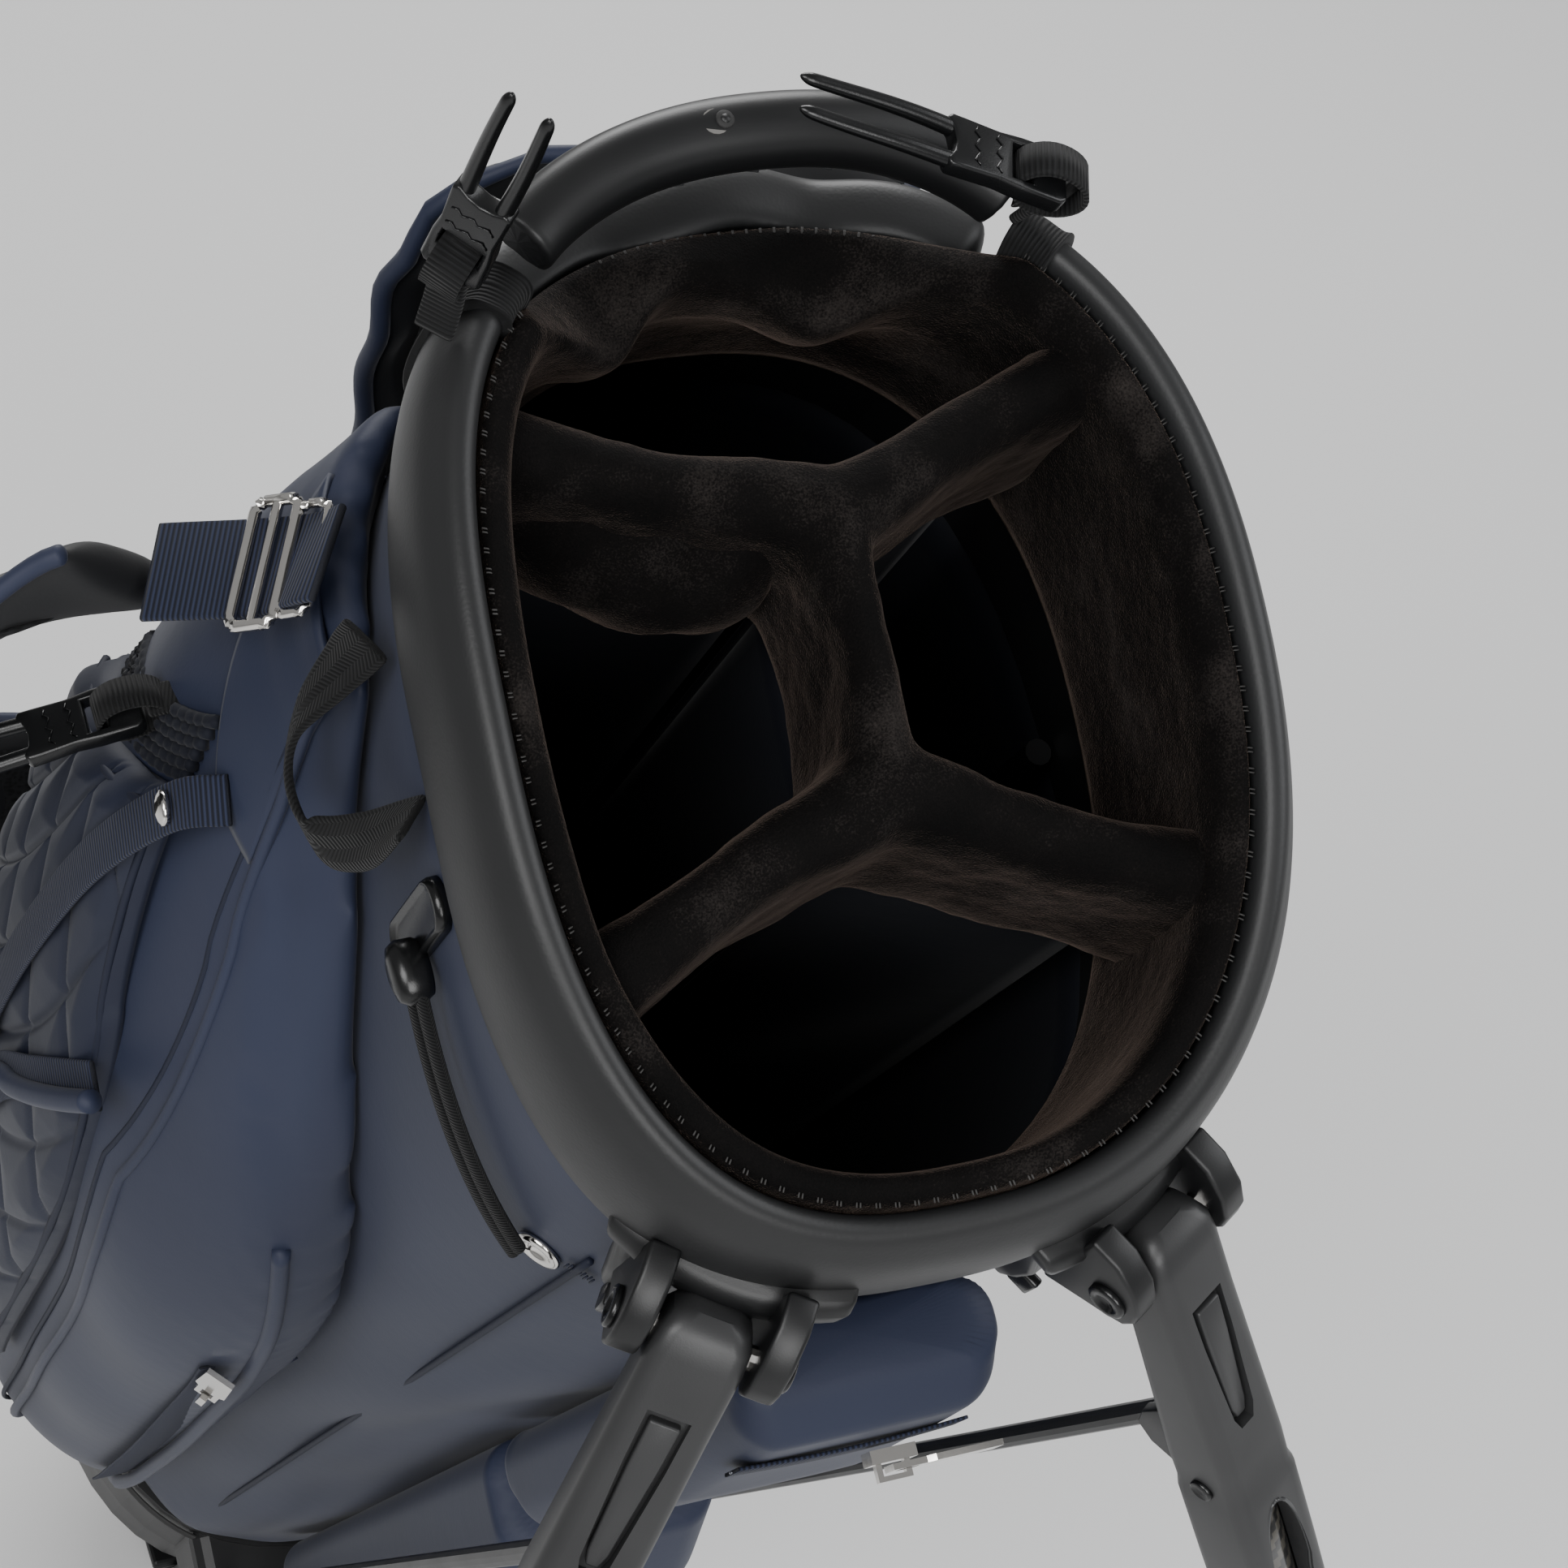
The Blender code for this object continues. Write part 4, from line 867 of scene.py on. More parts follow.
def plain_solid(name, rows, matrix):
    """A closed solid from equal rings, with flat ends and no material; used as a body or a cutter."""
    wide = len(rows[0])
    faces = []
    for i in range(len(rows) - 1):
        for j in range(wide):
            k = (j + 1) % wide
            faces.append((i * wide + j, i * wide + k, (i + 1) * wide + k, (i + 1) * wide + j))
    faces.append(tuple(reversed(range(wide))))
    faces.append(tuple(range((len(rows) - 1) * wide, len(rows) * wide)))
    return outward(mesh_object(name, [p for row in rows for p in row], faces, matrix))


def plate(name, outline, low, high, matrix):
    return plain_solid(name, [[Vector((x, y, z)) for x, z in outline] for y in (low, high)], matrix)


def carve(item, cutter):
    cutting = item.modifiers.new("cut", "BOOLEAN")
    cutting.operation = "DIFFERENCE"
    cutting.solver = "EXACT"
    cutting.object = cutter
    apply_modifiers(item)
    bpy.data.objects.remove(cutter, do_unlink=True)
    return item


def sharpened(item, degrees):
    item.data.set_sharp_from_angle(angle=math.radians(degrees))
    return item


def moulded(item, width, look, body="bag", segments=2, angle=50, sharp=None):
    """Round the edges of a plain solid and make it a piece."""
    bevelled(item, width, segments, angle)
    if sharp:
        sharpened(item, sharp)
    return finish_piece(item, look, body)


def turned(name, place, outline, radius, count, look, slot=None, stretch=1.0):
    """A round piece from (height, share of the radius) pairs, standing on the place's third axis."""
    rows = [[place @ Vector((x * grow * stretch, y * grow, z)) for x, y in circle(radius, count)]
            for z, grow in outline]
    return skin(name, rows, look)


def facing(spot, away):
    return Matrix.Translation(spot) @ away.to_track_quat("Z", "Y").to_matrix().to_4x4()


def handle_path(count):
    path = []
    for i, p in enumerate(arc(MOUTH_A + HANDLE_OUT, MOUTH_B + HANDLE_OUT, HANDLE_START, HANDLE_END, count)):
        crown = math.sin(math.pi * i / (count - 1))
        path.append(Vector((p.x, p.y, rim_height(p.y) + HANDLE_RISE + HANDLE_CROWN * crown)))
    return path


HANDLE_OUTLINE = [
    (0.0072, -0.0070), (0.0084, -0.0030), (0.0082, 0.0020), (0.0064, 0.0058), (0.0030, 0.0078),
    (-0.0012, 0.0080), (-0.0050, 0.0066), (-0.0076, 0.0036), (-0.0084, -0.0010), (-0.0074, -0.0062),
    (-0.0050, -0.0080), (0.0046, -0.0080),
]


def build_handle():
    """A moulded arch, soft on top and flat below, with short ribs on its underside, a screw and a pin."""
    def section(share):
        end = math.exp(-((min(share, 1 - share) / 0.05) ** 2))
        return [(s * (1 + 0.05 * end), h * (1 + 0.03 * end)) for s, h in HANDLE_OUTLINE]

    handle = sweep("lift_arch", handle_path(60), section, "black_moulding")
    refine(handle)
    for polygon in handle.data.polygons[-2:]:
        polygon.use_smooth = False
    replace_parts(handle, "lift_handle")
    spots = handle_path(61)
    cords = []
    for start in range(12, 46, 9):
        low = []
        for n in range(7):
            inward = Vector((-spots[start + n].x, -spots[start + n].y, 0)).normalized()
            low.append(spots[start + n] + inward * (0.0066 - 0.0004 * n) + Vector((0, 0, -0.0066)))
        cords.append((low, 0.0007))
    tubes("handle_ribs", cords, 8, "bright_moulding")
    place = Matrix.Translation(spots[35] + Vector((0, 0, 0.0073)))
    for name, radius, tall, look in (("screw_socket", 0.0022, 0.0009, "black_rubber"),
                                     ("screw_head", 0.0012, 0.0012, "black_moulding")):
        turned(name, place, ((0, 1), (tall * 0.6, 1), (tall, 0.85)), radius, 24, look)
    pin = spots[3] + Vector((0.006, -0.007, 0.001))
    skin("handle_pin", [[pin + Vector((x * g, z * 0.4, y * g + z)) for x, y in circle(0.0018, 20)]
                        for z, g in ((-0.001, 1), (0.0008, 1), (0.0015, 0.7))], "bright_metal")


# Bar, tip, the way the clip faces and the spot where its webbing is sewn on
CLIPS = {
    "clip_left": ((-0.078, 0.095, 0.866), (-0.075, 0.099, 0.930), (0.7, 0.7, 0.0), (-0.0805, 0.0875, 0.8440)),
    "clip_right": ((0.057, 0.098, 0.868), (0.014, 0.1145, 0.876), (0.0, 0.2, 1.0), (0.0610, 0.0985, 0.8480)),
    "clip_side": ((-0.135, 0.060, 0.692), (-0.181, 0.056, 0.678), (0.0, 0.3, 1.0), (-0.1120, 0.0580, 0.7020)),
}
CLIP_HALF = ((0.0062, -0.0058), (0.0074, -0.0040), (0.0072, 0.006), (0.0066, 0.012), (0.0070, 0.020),
             (0.0071, 0.0235), (0.0056, 0.0245), (0.0030, 0.0228))
CLIP_WINDOW = [(-0.0050, 0.0026), (0.0050, 0.0026), (0.0050, 0.0078), (-0.0050, 0.0078)]
TINE_FOOT, TINE_TIP = 0.020, 0.0600


def clip_matrix(bar, tip, face):
    up = (Vector(tip) - Vector(bar)).normalized()
    across = Vector(face).cross(up).normalized()
    return Matrix.Translation(Vector(bar)) @ Matrix((across, up.cross(across), up)).transposed().to_4x4()


def tine_rows(side):
    """One tapering tine that bows away from its partner and thins to a round end."""
    rows = []
    for i in range(22):
        share = i / 21
        bow = 0.0004 * math.sin(math.pi * share)
        half_wide = 0.0021 - 0.0005 * share
        half_thick = 0.0023 - 0.0008 * share
        shrink = math.sqrt(max(0.05, 1 - max(0.0, (share - 0.93) / 0.07) ** 2))
        up = TINE_FOOT + (TINE_TIP - TINE_FOOT) * share
        centre = Vector((side * (0.0045 + bow), 0.0004 * math.sin(share * 5), up))
        rows.append([centre + Vector((x * half_wide * shrink, y * half_thick * shrink, 0))
                     for x, y in circle(1.0, 12)])
    return rows


def build_clips():
    """Two-tine clips with a waisted base block, a window for the bar and raised mould lines."""
    for name, (bar, tip, face, anchor) in CLIPS.items():
        place = BAG @ clip_matrix(bar, tip, face)
        outline = [(-0.0062, -0.0058), *CLIP_HALF, (0.0, 0.0222), *[(-x, z) for x, z in CLIP_HALF[:0:-1]]]
        base = plate(f"{name}_base", outline, -0.0024, 0.0024, place)
        carve(base, plate("clip_cutter", CLIP_WINDOW, -0.01, 0.01, place))
        moulded(base, 0.0007, "glossy_moulding", name, segments=3, angle=35, sharp=40)
        for side in (-1, 1):
            refine(skin(f"{name}_tine_{side_name(side)}", tine_rows(side), "glossy_moulding", body=name,
                        matrix=place))
        cords = []
        for z in (0.0115, 0.0170):
            for y in (-0.0025, 0.0025):
                path = [Vector((-0.0052 + 0.0104 * n / 8, y, z + 0.0008 * math.sin(n * 2.1)))
                        for n in range(9)]
                cords.append((path, 0.00026))
        tubes(f"{name}_lines", cords, 5, "glossy_moulding", name, place)
        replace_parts(base, name)
        build_clip_webbing(name, place, Vector(face), Vector(anchor))


def build_clip_webbing(name, place, face, anchor):
    """The loop through the clip's window and the flat tab that ties it to the bag."""
    ring = []
    for i in range(30):
        angle = 2 * math.pi * i / 30
        stretch = 1.0 if math.sin(angle) > -0.2 else 1.25
        ring.append(Vector((0, 0.0068 * math.cos(angle), -0.0020 + 0.0075 * stretch * math.sin(angle))))
    closed = ring + [ring[0], ring[1]]
    rows = rows_along(closed, [(-0.0045, -0.0006), (0.0045, -0.0006), (0.0045, 0.0006), (-0.0045, 0.0006)],
                      [(p - Vector((0, 0, -0.002))).normalized() for p in closed])
    loop = skin(f"{name}_webbing", rows[1:-1], "black_webbing", loop=True, matrix=place)
    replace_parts(loop, f"{name}_loop")
    start = (BAG.inverted() @ place) @ Vector((0, 0, -0.0085))
    path = smooth([start, start.lerp(anchor, 0.5) + face * 0.001, anchor], 16)
    tab = rows_along(path, rounded_profile(0.0092, 0.0026, 0.0009, 2), [face] * len(path))
    skin(f"{name}_tab", tab, "black_webbing")


# Stand
def leg_plane(side):
    hinge = Vector((side * HINGE.x, HINGE.y, HINGE.z))
    return Matrix.Translation(hinge) @ Matrix.Rotation(side * LEG_SPLAY, 4, "Z")


# Height, half width, inner face and outer face of the saddle
SADDLE_LEVELS = (
    (0.0100, 0.0290, 0.0150, 0.0110), (0.0070, 0.0290, 0.0145, 0.0078), (0.0030, 0.0280, 0.0140, 0.0070),
    (-0.0010, 0.0262, 0.0135, 0.0080), (-0.0060, 0.0240, 0.0132, 0.0102), (-0.0220, 0.0212, 0.0160, 0.0118),
    (-0.0340, 0.0195, 0.0178, 0.0125), (-0.0455, 0.0170, 0.0185, 0.0142),
)
BRACKET_EAR = [(0.0135, 0.0150), (0.0050, 0.0148), (-0.0030, 0.0100), (-0.0072, 0.0042), (-0.0084, -0.0006),
               (-0.0074, -0.0052), (-0.0036, -0.0084), (0.0020, -0.0120), (0.0125, -0.0190)]
BRACKET_LUG = ((0.0150, -0.036), (0.0085, -0.036), (0.0085, -0.0445), (0.0150, -0.0445))


def cross_slab(name, outline, low, high, place):
    """A slab of one (y, z) outline between two x positions."""
    return plain_solid(name, [[Vector((x, y, z)) for y, z in outline] for x in (low, high)], place)


def pin_head(name, outline, radius, count, up, place, body="bag"):
    """A round head on a cross axis, from (reach, share of the radius) pairs."""
    rows = [[Vector((reach, y * grow, up + z * grow)) for y, z in circle(radius, count)]
            for reach, grow in outline]
    return skin(name, rows, "glossy_moulding", body=body, matrix=place)


def build_bracket(side):
    """A saddle under the collar, with an ear, a screw and a lug on each side of the leg."""
    name = f"leg_bracket_{side_name(side)}"
    place = BAG @ leg_plane(side)
    rows = []
    for z, half, back, front in SADDLE_LEVELS:
        row = []
        for n in range(15):
            share = 2 * n / 14 - 1
            curve = 0.0085 * share * share if z > -0.01 else 0.0050 * share * share
            row.append(Vector((half * share, front + curve * (0.8 if z > -0.02 else 0.3), z)))
        for n in range(14, -1, -1):
            share = 2 * n / 14 - 1
            row.append(Vector((half * share * 0.98, back + 0.0085 * (0.6 + 0.6 * share * share), z)))
        rows.append(row)
    saddle = plain_solid(f"{name}_saddle", rows, place)
    moulded(saddle, 0.0014, "black_moulding", segments=3, sharp=45)
    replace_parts(saddle, name)
    for x in (-1, 1):
        low, high = sorted((x * 0.0125, x * 0.0200))
        ear = cross_slab(f"{name}_ear_{side_name(x)}", BRACKET_EAR, low, high, place)
        moulded(ear, 0.0012, "black_moulding", segments=3, sharp=45)
        boss = [(x * reach, grow) for reach, grow in
                ((0.0196, 1), (0.0212, 1), (0.0217, 0.88), (0.0217, 0.55), (0.0207, 0.5))]
        pin_head(f"{name}_boss_{side_name(x)}", boss, 0.0050, 28, 0.0, place)
        lug = cross_slab(f"{name}_lug_{side_name(x)}", BRACKET_LUG, x * 0.0135, x * (0.0135 + 0.003), place)
        moulded(lug, 0.0008, "glossy_moulding")


# Height, half width, front and back of the leg top
LEG_TOP_LEVELS = (
    (0.0088, 0.0060, 0.0040, 0.0040), (0.0070, 0.0092, 0.0064, 0.0064), (0.0035, 0.0108, 0.0080, 0.0080),
    (-0.0020, 0.0112, 0.0086, 0.0086), (-0.0200, 0.0112, 0.0088, 0.0088), (-0.0500, 0.0113, 0.0098, 0.0098),
    (-0.0760, 0.0114, 0.0108, 0.0106), (-0.0860, 0.0110, 0.0110, 0.0108), (-0.0895, 0.0117, 0.0116, 0.0109),
    (-0.1200, 0.0116, 0.0115, 0.0109), (-0.1600, 0.0112, 0.0112, 0.0107), (-0.1690, 0.0106, 0.0106, 0.0102),
    (-0.1705, 0.0098, 0.0098, 0.0095),
)
LEG_PANEL = [(-0.0052, -0.0160), (0.0052, -0.0160), (0.0050, -0.030), (0.0036, -0.058), (0.0022, -0.0625),
             (-0.0022, -0.0625), (-0.0036, -0.058), (-0.0050, -0.030)]
LEG_LUG = [(0.006, -0.060), (0.018, -0.0690), (0.0208, -0.0750), (0.018, -0.0810), (0.006, -0.088)]
LEG_SCREW = ((0.0108, 1), (0.0121, 1), (0.0125, 0.8), (0.0118, 0.45))
LEG_WINDOW_Z = -0.1235


def build_knuckle(side):
    """The moulded leg top: rounded bar, sunk tapered panel, then a long window over the carbon tube."""
    name = side_name(side)
    body = f"leg_{name}"
    place = BAG @ leg_plane(side) @ Matrix.Rotation(-LEG_OPEN, 4, "X")
    rows = []
    for z, half, front, back in LEG_TOP_LEVELS:
        tall = front + back
        rows.append([Vector((x, y + (back - front) / 2, z))
                     for x, y in rounded_profile(2 * half, tall, min(0.0042, half * 0.7, tall * 0.35), 4)])
    bar = plain_solid(f"leg_top_{name}", rows, place)
    bevelled(bar, 0.0009, 2, 55)
    carve(bar, plate("panel_cutter", LEG_PANEL, -0.020, -0.0066, place))
    window = [(0.0066 * math.sin(a) * (1 if math.cos(a) > 0 else 0.9), LEG_WINDOW_Z + 0.0290 * math.cos(a))
              for a in [2 * math.pi * n / 40 for n in range(40)]]
    carve(bar, plate("window_cutter", window, -0.020, 0.0, place))
    bore = [[Vector((x, y, z)) for x, y in circle(0.0079, 40)] for z in (-0.0900, -0.1800)]
    carve(bar, plain_solid("bore_cutter", bore, place))
    sharpened(bar, 30)
    finish_piece(bar, "dark_satin", body)
    inset = [(x * 0.72, -0.0385 + (z + 0.0385) * 0.90) for x, z in LEG_PANEL]
    tongue = plate(f"leg_panel_{name}", inset, -0.0090, -0.0062, place)
    moulded(tongue, 0.0006, "dark_satin", body)
    ring = []
    for n, (x, z) in enumerate(window):
        sunk = -0.0104 - 0.0010 * math.cos(n * 2 * math.pi / 40)
        ring.append(Vector((x * 1.06, sunk, z + (z - LEG_WINDOW_Z) * 0.03)))
    cords = [(ring + [ring[0]], 0.00055)]
    tubes(f"leg_window_edge_{name}", cords, 8, "bright_moulding", body, place)
    for x in (-1, 1):
        head = [(x * reach, grow) for reach, grow in LEG_SCREW]
        pin_head(f"leg_screw_{name}_{side_name(x)}", head, 0.0032, 24, -0.084, place, body)
        low, high = sorted((x * 0.0046, x * 0.0082))
        lug = cross_slab(f"leg_lug_{name}_{side_name(x)}", LEG_LUG, low, high, place)
        moulded(lug, 0.0006, "black_moulding", body)
    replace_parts(bar, f"leg_knuckle_{name}")
    lengths = [-0.0905 + (-LEG_LENGTH + 0.016 + 0.0905) * n / 24 for n in range(25)]
    tube = [[Vector((x, y, z)) for x, y in circle(0.0075, 48)] for z in lengths]
    weave = skin(f"leg_weave_{name}", tube, "carbon_tube", body=body, matrix=place)
    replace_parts(weave, f"leg_tube_{name}")


# Body
def fold(angle, z):
    """Broad slack folds in the side cloth, strongest low on the front left, calm near the mouth."""
    slack = math.sin(math.pi * clamp((z - 0.09) / 0.72))
    lean = math.radians(angle) * 3.0 + z * 9.0
    loose = math.exp(-(((angle - 245) / 26) ** 2)) * clamp((0.70 - z) / 0.10)
    diagonal = math.radians(angle) * 5.5 - z * 16.0
    return (slack * (0.0016 * math.sin(lean) + 0.0009 * math.sin(lean * 2.3 + 1.2))
            + 0.0010 * wave((angle / 30, z * 9, 2), 1.0, 5)
            + loose * (0.0034 * math.sin(diagonal) + 0.0016 * math.sin(diagonal * 2.2 + 0.8) + 0.002))


def build_shell():
    rows = []
    count, levels = 150, 46
    for i in range(count):
        angle = 360 * i / count
        top = rim_height(oval(SHELL_TOP_A, SHELL_TOP_B, math.radians(angle)).y) - COLLAR_TALL - 0.0030
        row = []
        for j in range(levels):
            z = top + (SHELL_BOTTOM - top) * j / (levels - 1)
            row.append(shell_point(angle, z, CLOTH_LOFT + max(-0.0010, fold(angle, z)) * 0.6))
        row += [shell_point(angle, z, -0.0028) for z in (SHELL_BOTTOM, top)]
        rows.append(row)
    body = skin("body_cloth", rows, "navy_fabric", loop=True)
    refine(body)
    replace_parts(body, "shell_left", "shell_right", "shell_front", "shell_back")
    cords = [([shell_point(angle, 0.095 + (0.735 - 0.095) * n / 70, 0.0018) for n in range(71)], 0.0011)
             for angle in CORNER_SEAMS]
    tubes("body_piping", cords, 8, "navy_thread")


def build_liner():
    """Nylon that lines the inside of the body, in navy darkened almost to black as painted shade."""
    rows = []
    for i in range(96):
        angle = 360 * i / 96
        top = 0.733
        outer = [shell_point(angle, top + (0.094 - top) * j / 24, -0.0033) for j in range(25)]
        inner = [shell_point(angle, top + (0.094 - top) * j / 24, -0.0038) for j in range(24, -1, -1)]
        rows.append(outer + inner)
    skin("body_liner", rows, "inner_fabric", loop=True)


BASE_TRIM = ((0.0795, 0.0052), (0.0800, 0.0062), (0.0815, 0.0066), (0.0832, 0.0062), (0.0838, 0.0050))


def build_base():
    """A rubber trim line round the top of the moulded base."""
    rows = []
    for i in range(120):
        angle = 2 * math.pi * i / 120
        row = []
        for z, swell in BASE_TRIM:
            p = oval(SHELL_BASE_A + swell, SHELL_BASE_B + swell, angle)
            row.append(Vector((p.x, p.y, z)))
        rows.append(row)
    skin("base_trim", rows, "black_rubber", loop=True)


# Pockets
def pocket_at(levels, z):
    """Depth and front edge of a side pocket at a height, eased over a short band so that no kink shows."""
    band = (-0.030, -0.015, 0.0, 0.015, 0.030)
    samples = [section_at(levels, z + step) for step in band]
    return [sum(sample[i] for sample in samples) / len(band) for i in (0, 1)]


def section_at(levels, z):
    """The numbers of a pocket section at a height, between the two levels round it."""
    for low, high in zip(levels, levels[1:]):
        if low[0] <= z <= high[0]:
            share = (z - low[0]) / (high[0] - low[0])
            return [low[i] + (high[i] - low[i]) * share for i in range(1, len(low))]
    return levels[-1][1:] if z > levels[0][0] else levels[0][1:]


def pocket_skin(share, z, levels, back, lift=0.0):
    """A point on the outside of a side pocket, share of the way from its back edge to its front."""
    depth, front = pocket_at(levels, z)
    swell = math.sin(math.pi * share) ** POCKET_FULLNESS if 0 < share < 1 else 0.0
    return shell_point(back + (front - back) * share, z, POCKET_GAP + 0.003 + (depth - 0.003) * swell + lift)


def pocket_fold(share, z):
    """Diagonal slack folds that run from the upper back of the pocket to its lower front."""
    calm = math.sin(math.pi * share) * math.sin(math.pi * clamp((z - 0.10) / 0.68))
    diagonal = share * 6.5 + z * 17.0
    return calm * (0.0030 * math.sin(diagonal) + 0.0014 * math.sin(diagonal * 2.1 + share * 4)
                   + 0.0030 * wave((share * 2.5, z * 9, 1), 1.0, 9))


def build_side_pocket(name, levels, back):
    rows = []
    low, high = levels[0][0], levels[-1][0]
    for i in range(90):
        z = low + (high - low) * i / 89
        row = [pocket_skin(j / 44, z, levels, back, pocket_fold(j / 44, z) - 0.0010) for j in range(45)]
        front = pocket_at(levels, z)[1]
        row += [shell_point(front + (back - front) * j / 8, z, POCKET_GAP) for j in range(9)]
        rows.append(row)
    pocket = skin(f"pocket_cloth_{name}", rows, "navy_fabric")
    puff(pocket, PUFF_VOXEL, PUFF_CAP)
    refine(pocket)
    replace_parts(pocket, f"side_pocket_{name}")
    build_pocket_trim(name, levels, back)


def puff(item, voxel, cap):
    """Swell a closed cloth form with a short pressure simulation, away from the bag and by cap at most."""
    remesh(item, voxel)
    start = [v.co.copy() for v in item.data.vertices]
    cloth = item.modifiers.new("cloth", "CLOTH")
    cloth.settings.use_pressure = True
    cloth.settings.uniform_pressure_force = PUFF_PRESSURE
    cloth.settings.effector_weights.gravity = 0.0
    cloth.point_cache.frame_start = 1
    cloth.point_cache.frame_end = PUFF_STEPS
    scene = bpy.context.scene
    for step in range(1, PUFF_STEPS + 1):
        scene.frame_set(step)
    apply_modifiers(item)
    scene.frame_set(1)
    for vertex, was in zip(item.data.vertices, start):
        move = vertex.co - was
        outwards = Vector((was.x, was.y, 0)).normalized()
        rise = min(max(move.dot(outwards), 0.0), cap)
        vertex.co = was + outwards * rise
    item.data.update()
    if item.data.materials[0] is None:
        item.data.materials[0] = LOOKS["navy_fabric"]


def pocket_line(levels, back, share_at, low, high, lift, count=90):
    line = []
    for n in range(count):
        z = low + (high - low) * n / (count - 1)
        share = share_at(z)
        line.append(pocket_skin(share, z, levels, back, lift + pocket_fold(share, z)))
    return line


def piping_share(z):
    """The piping climbs the pocket's corner and swings to its front edge near the top."""
    return 0.75 + 0.15 * clamp((z - 0.58) / 0.15)


def build_pocket_trim(name, levels, back):
    """Double piping up the front corner and a rolled hem along the lower front edge."""
    top = levels[-1][0] - 0.010
    for label, share_at, radius, lift, ends, look in (
        ("piping", piping_share, 0.0017, 0.0016, (0.135, top), "navy_fabric"),
        ("piping_inner", lambda z: piping_share(z) - 0.030, 0.0009, 0.0015, (0.135, top), "navy_thread"),
        ("hem", lambda z: 0.965, 0.0026, 0.0012, (0.130, 0.600), "navy_fabric"),
    ):
        line = pocket_line(levels, back, share_at, *ends, lift)
        tubes(f"pocket_{label}_{name}", [(line, radius)], 10, look)


QUILT_WIDE, QUILT_TALL = 0.026, 0.064


def quilt(along, up):
    """Long diamonds: low pillows between two sets of sewn diagonals with narrow valleys."""
    near = min(abs((along / QUILT_WIDE + turn * up / QUILT_TALL) % 1 - 0.5) for turn in (1, -1)) * QUILT_WIDE
    valley, crown = (1 - math.exp(-((near / reach) ** 2)) for reach in (0.0013, 0.0060))
    return 0.0016 * valley + 0.0018 * crown


def pouch_end(z):
    front = pocket_at(SIDE_POCKET_LEFT, z)[1]
    return SIDE_POCKET_BACK_LEFT + POUCH_REACH * (front - SIDE_POCKET_BACK_LEFT)


def pouch_out(angle, z, lift=0.0):
    """The pouch's face: it follows the pocket under it and stands a little off."""
    front = pocket_at(SIDE_POCKET_LEFT, z)[1]
    share = (angle - SIDE_POCKET_BACK_LEFT) / (front - SIDE_POCKET_BACK_LEFT)
    return pocket_skin(share, z, SIDE_POCKET_LEFT, SIDE_POCKET_BACK_LEFT, lift)


def pouch_top(share):
    """The pouch's mouth rises towards the front of the bag."""
    return 0.634 + 0.066 * share


def pouch_spot(share, rise, lift):
    z = POUCH_BOTTOM + (pouch_top(share) - POUCH_BOTTOM) * rise
    return pouch_out(POUCH_START + (pouch_end(z) - POUCH_START) * share, z, lift)


def build_pouch():
    """The quilted pouch on the outside of the left pocket, with sewn hems along its top, its bottom and one side.
    """
    rows = []
    tall, wide = 300, 170
    for i in range(tall):
        rise = i / (tall - 1)
        edge = min(1.0, min(rise, 1 - rise) / 0.03) ** 0.5
        row = []
        for j in range(wide):
            share = j / (wide - 1)
            side = min(1.0, min(share, 1 - share) / 0.05) ** 0.5
            puffed = quilt(share * 0.118, rise * 0.360)
            row.append(pouch_spot(share, rise, 0.0048 + (0.0052 + puffed) * edge * side))
        row += [pouch_spot(1 - j / 8, rise, 0.0030) for j in range(9)]
        rows.append(row)
    pouch = skin("quilted_pouch", rows, "quilted_fabric")
    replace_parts(pouch, "quilted_pouch_left")
    cords = [([pouch_spot(0.02 + 0.96 * n / 60, rise, 0.0088) for n in range(61)], 0.0013)
             for rise in (0.015, 0.985)]
    cords.append(([pouch_spot(0.985, 0.02 + 0.96 * n / 80, 0.0080) for n in range(81)], 0.0012))
    tubes("pouch_hems", cords, 8, "navy_thread")
    build_pouch_straps()
    build_gusset()
    build_corner_flap()


def ribbon(name, keys, wide, outwards, thick=0.0015):
    """A flat strap through the keys; outwards are the directions its face looks at each key."""
    path = smooth(keys, 60)
    lifts = blended_lifts(path, list(zip(keys, outwards)))
    rows = rows_along(path, rounded_profile(wide, thick, thick * 0.45, 2), lifts)
    return skin(name, rows, "navy_tape")


def stud(name, centre, outwards, radius, tall):
    """A round metal fitting with a rolled rim and a domed face."""
    outline = ((0, 0.96), (0.35, 1.0), (0.55, 0.97), (0.62, 0.88), (0.80, 0.70), (0.94, 0.42), (1, 0.14))
    outline = [(tall * up, grow) for up, grow in outline]
    return turned(name, facing(centre, outwards), outline, radius, 40, "bright_metal")


def face_direction(angle, z):
    return (pouch_out(angle, z, 0.02) - pouch_out(angle, z)).normalized()


STRAP_RUNS = {
    "upper": (((172, 0.716, 0.0035), (171, 0.704, 0.0110), (171, 0.665, 0.0140), (172, 0.608, 0.0140),
               (173, 0.560, 0.0140), (174, 0.512, 0.0135)), 0.0125, 0.0046, 0.0030),
    "lower": (((184, 0.616, 0.0120), (181, 0.585, 0.0150), (179, 0.552, 0.0150), (178, 0.515, 0.0150),
               (176, 0.470, 0.0140)), 0.0135, 0.0040, 0.0014),
}


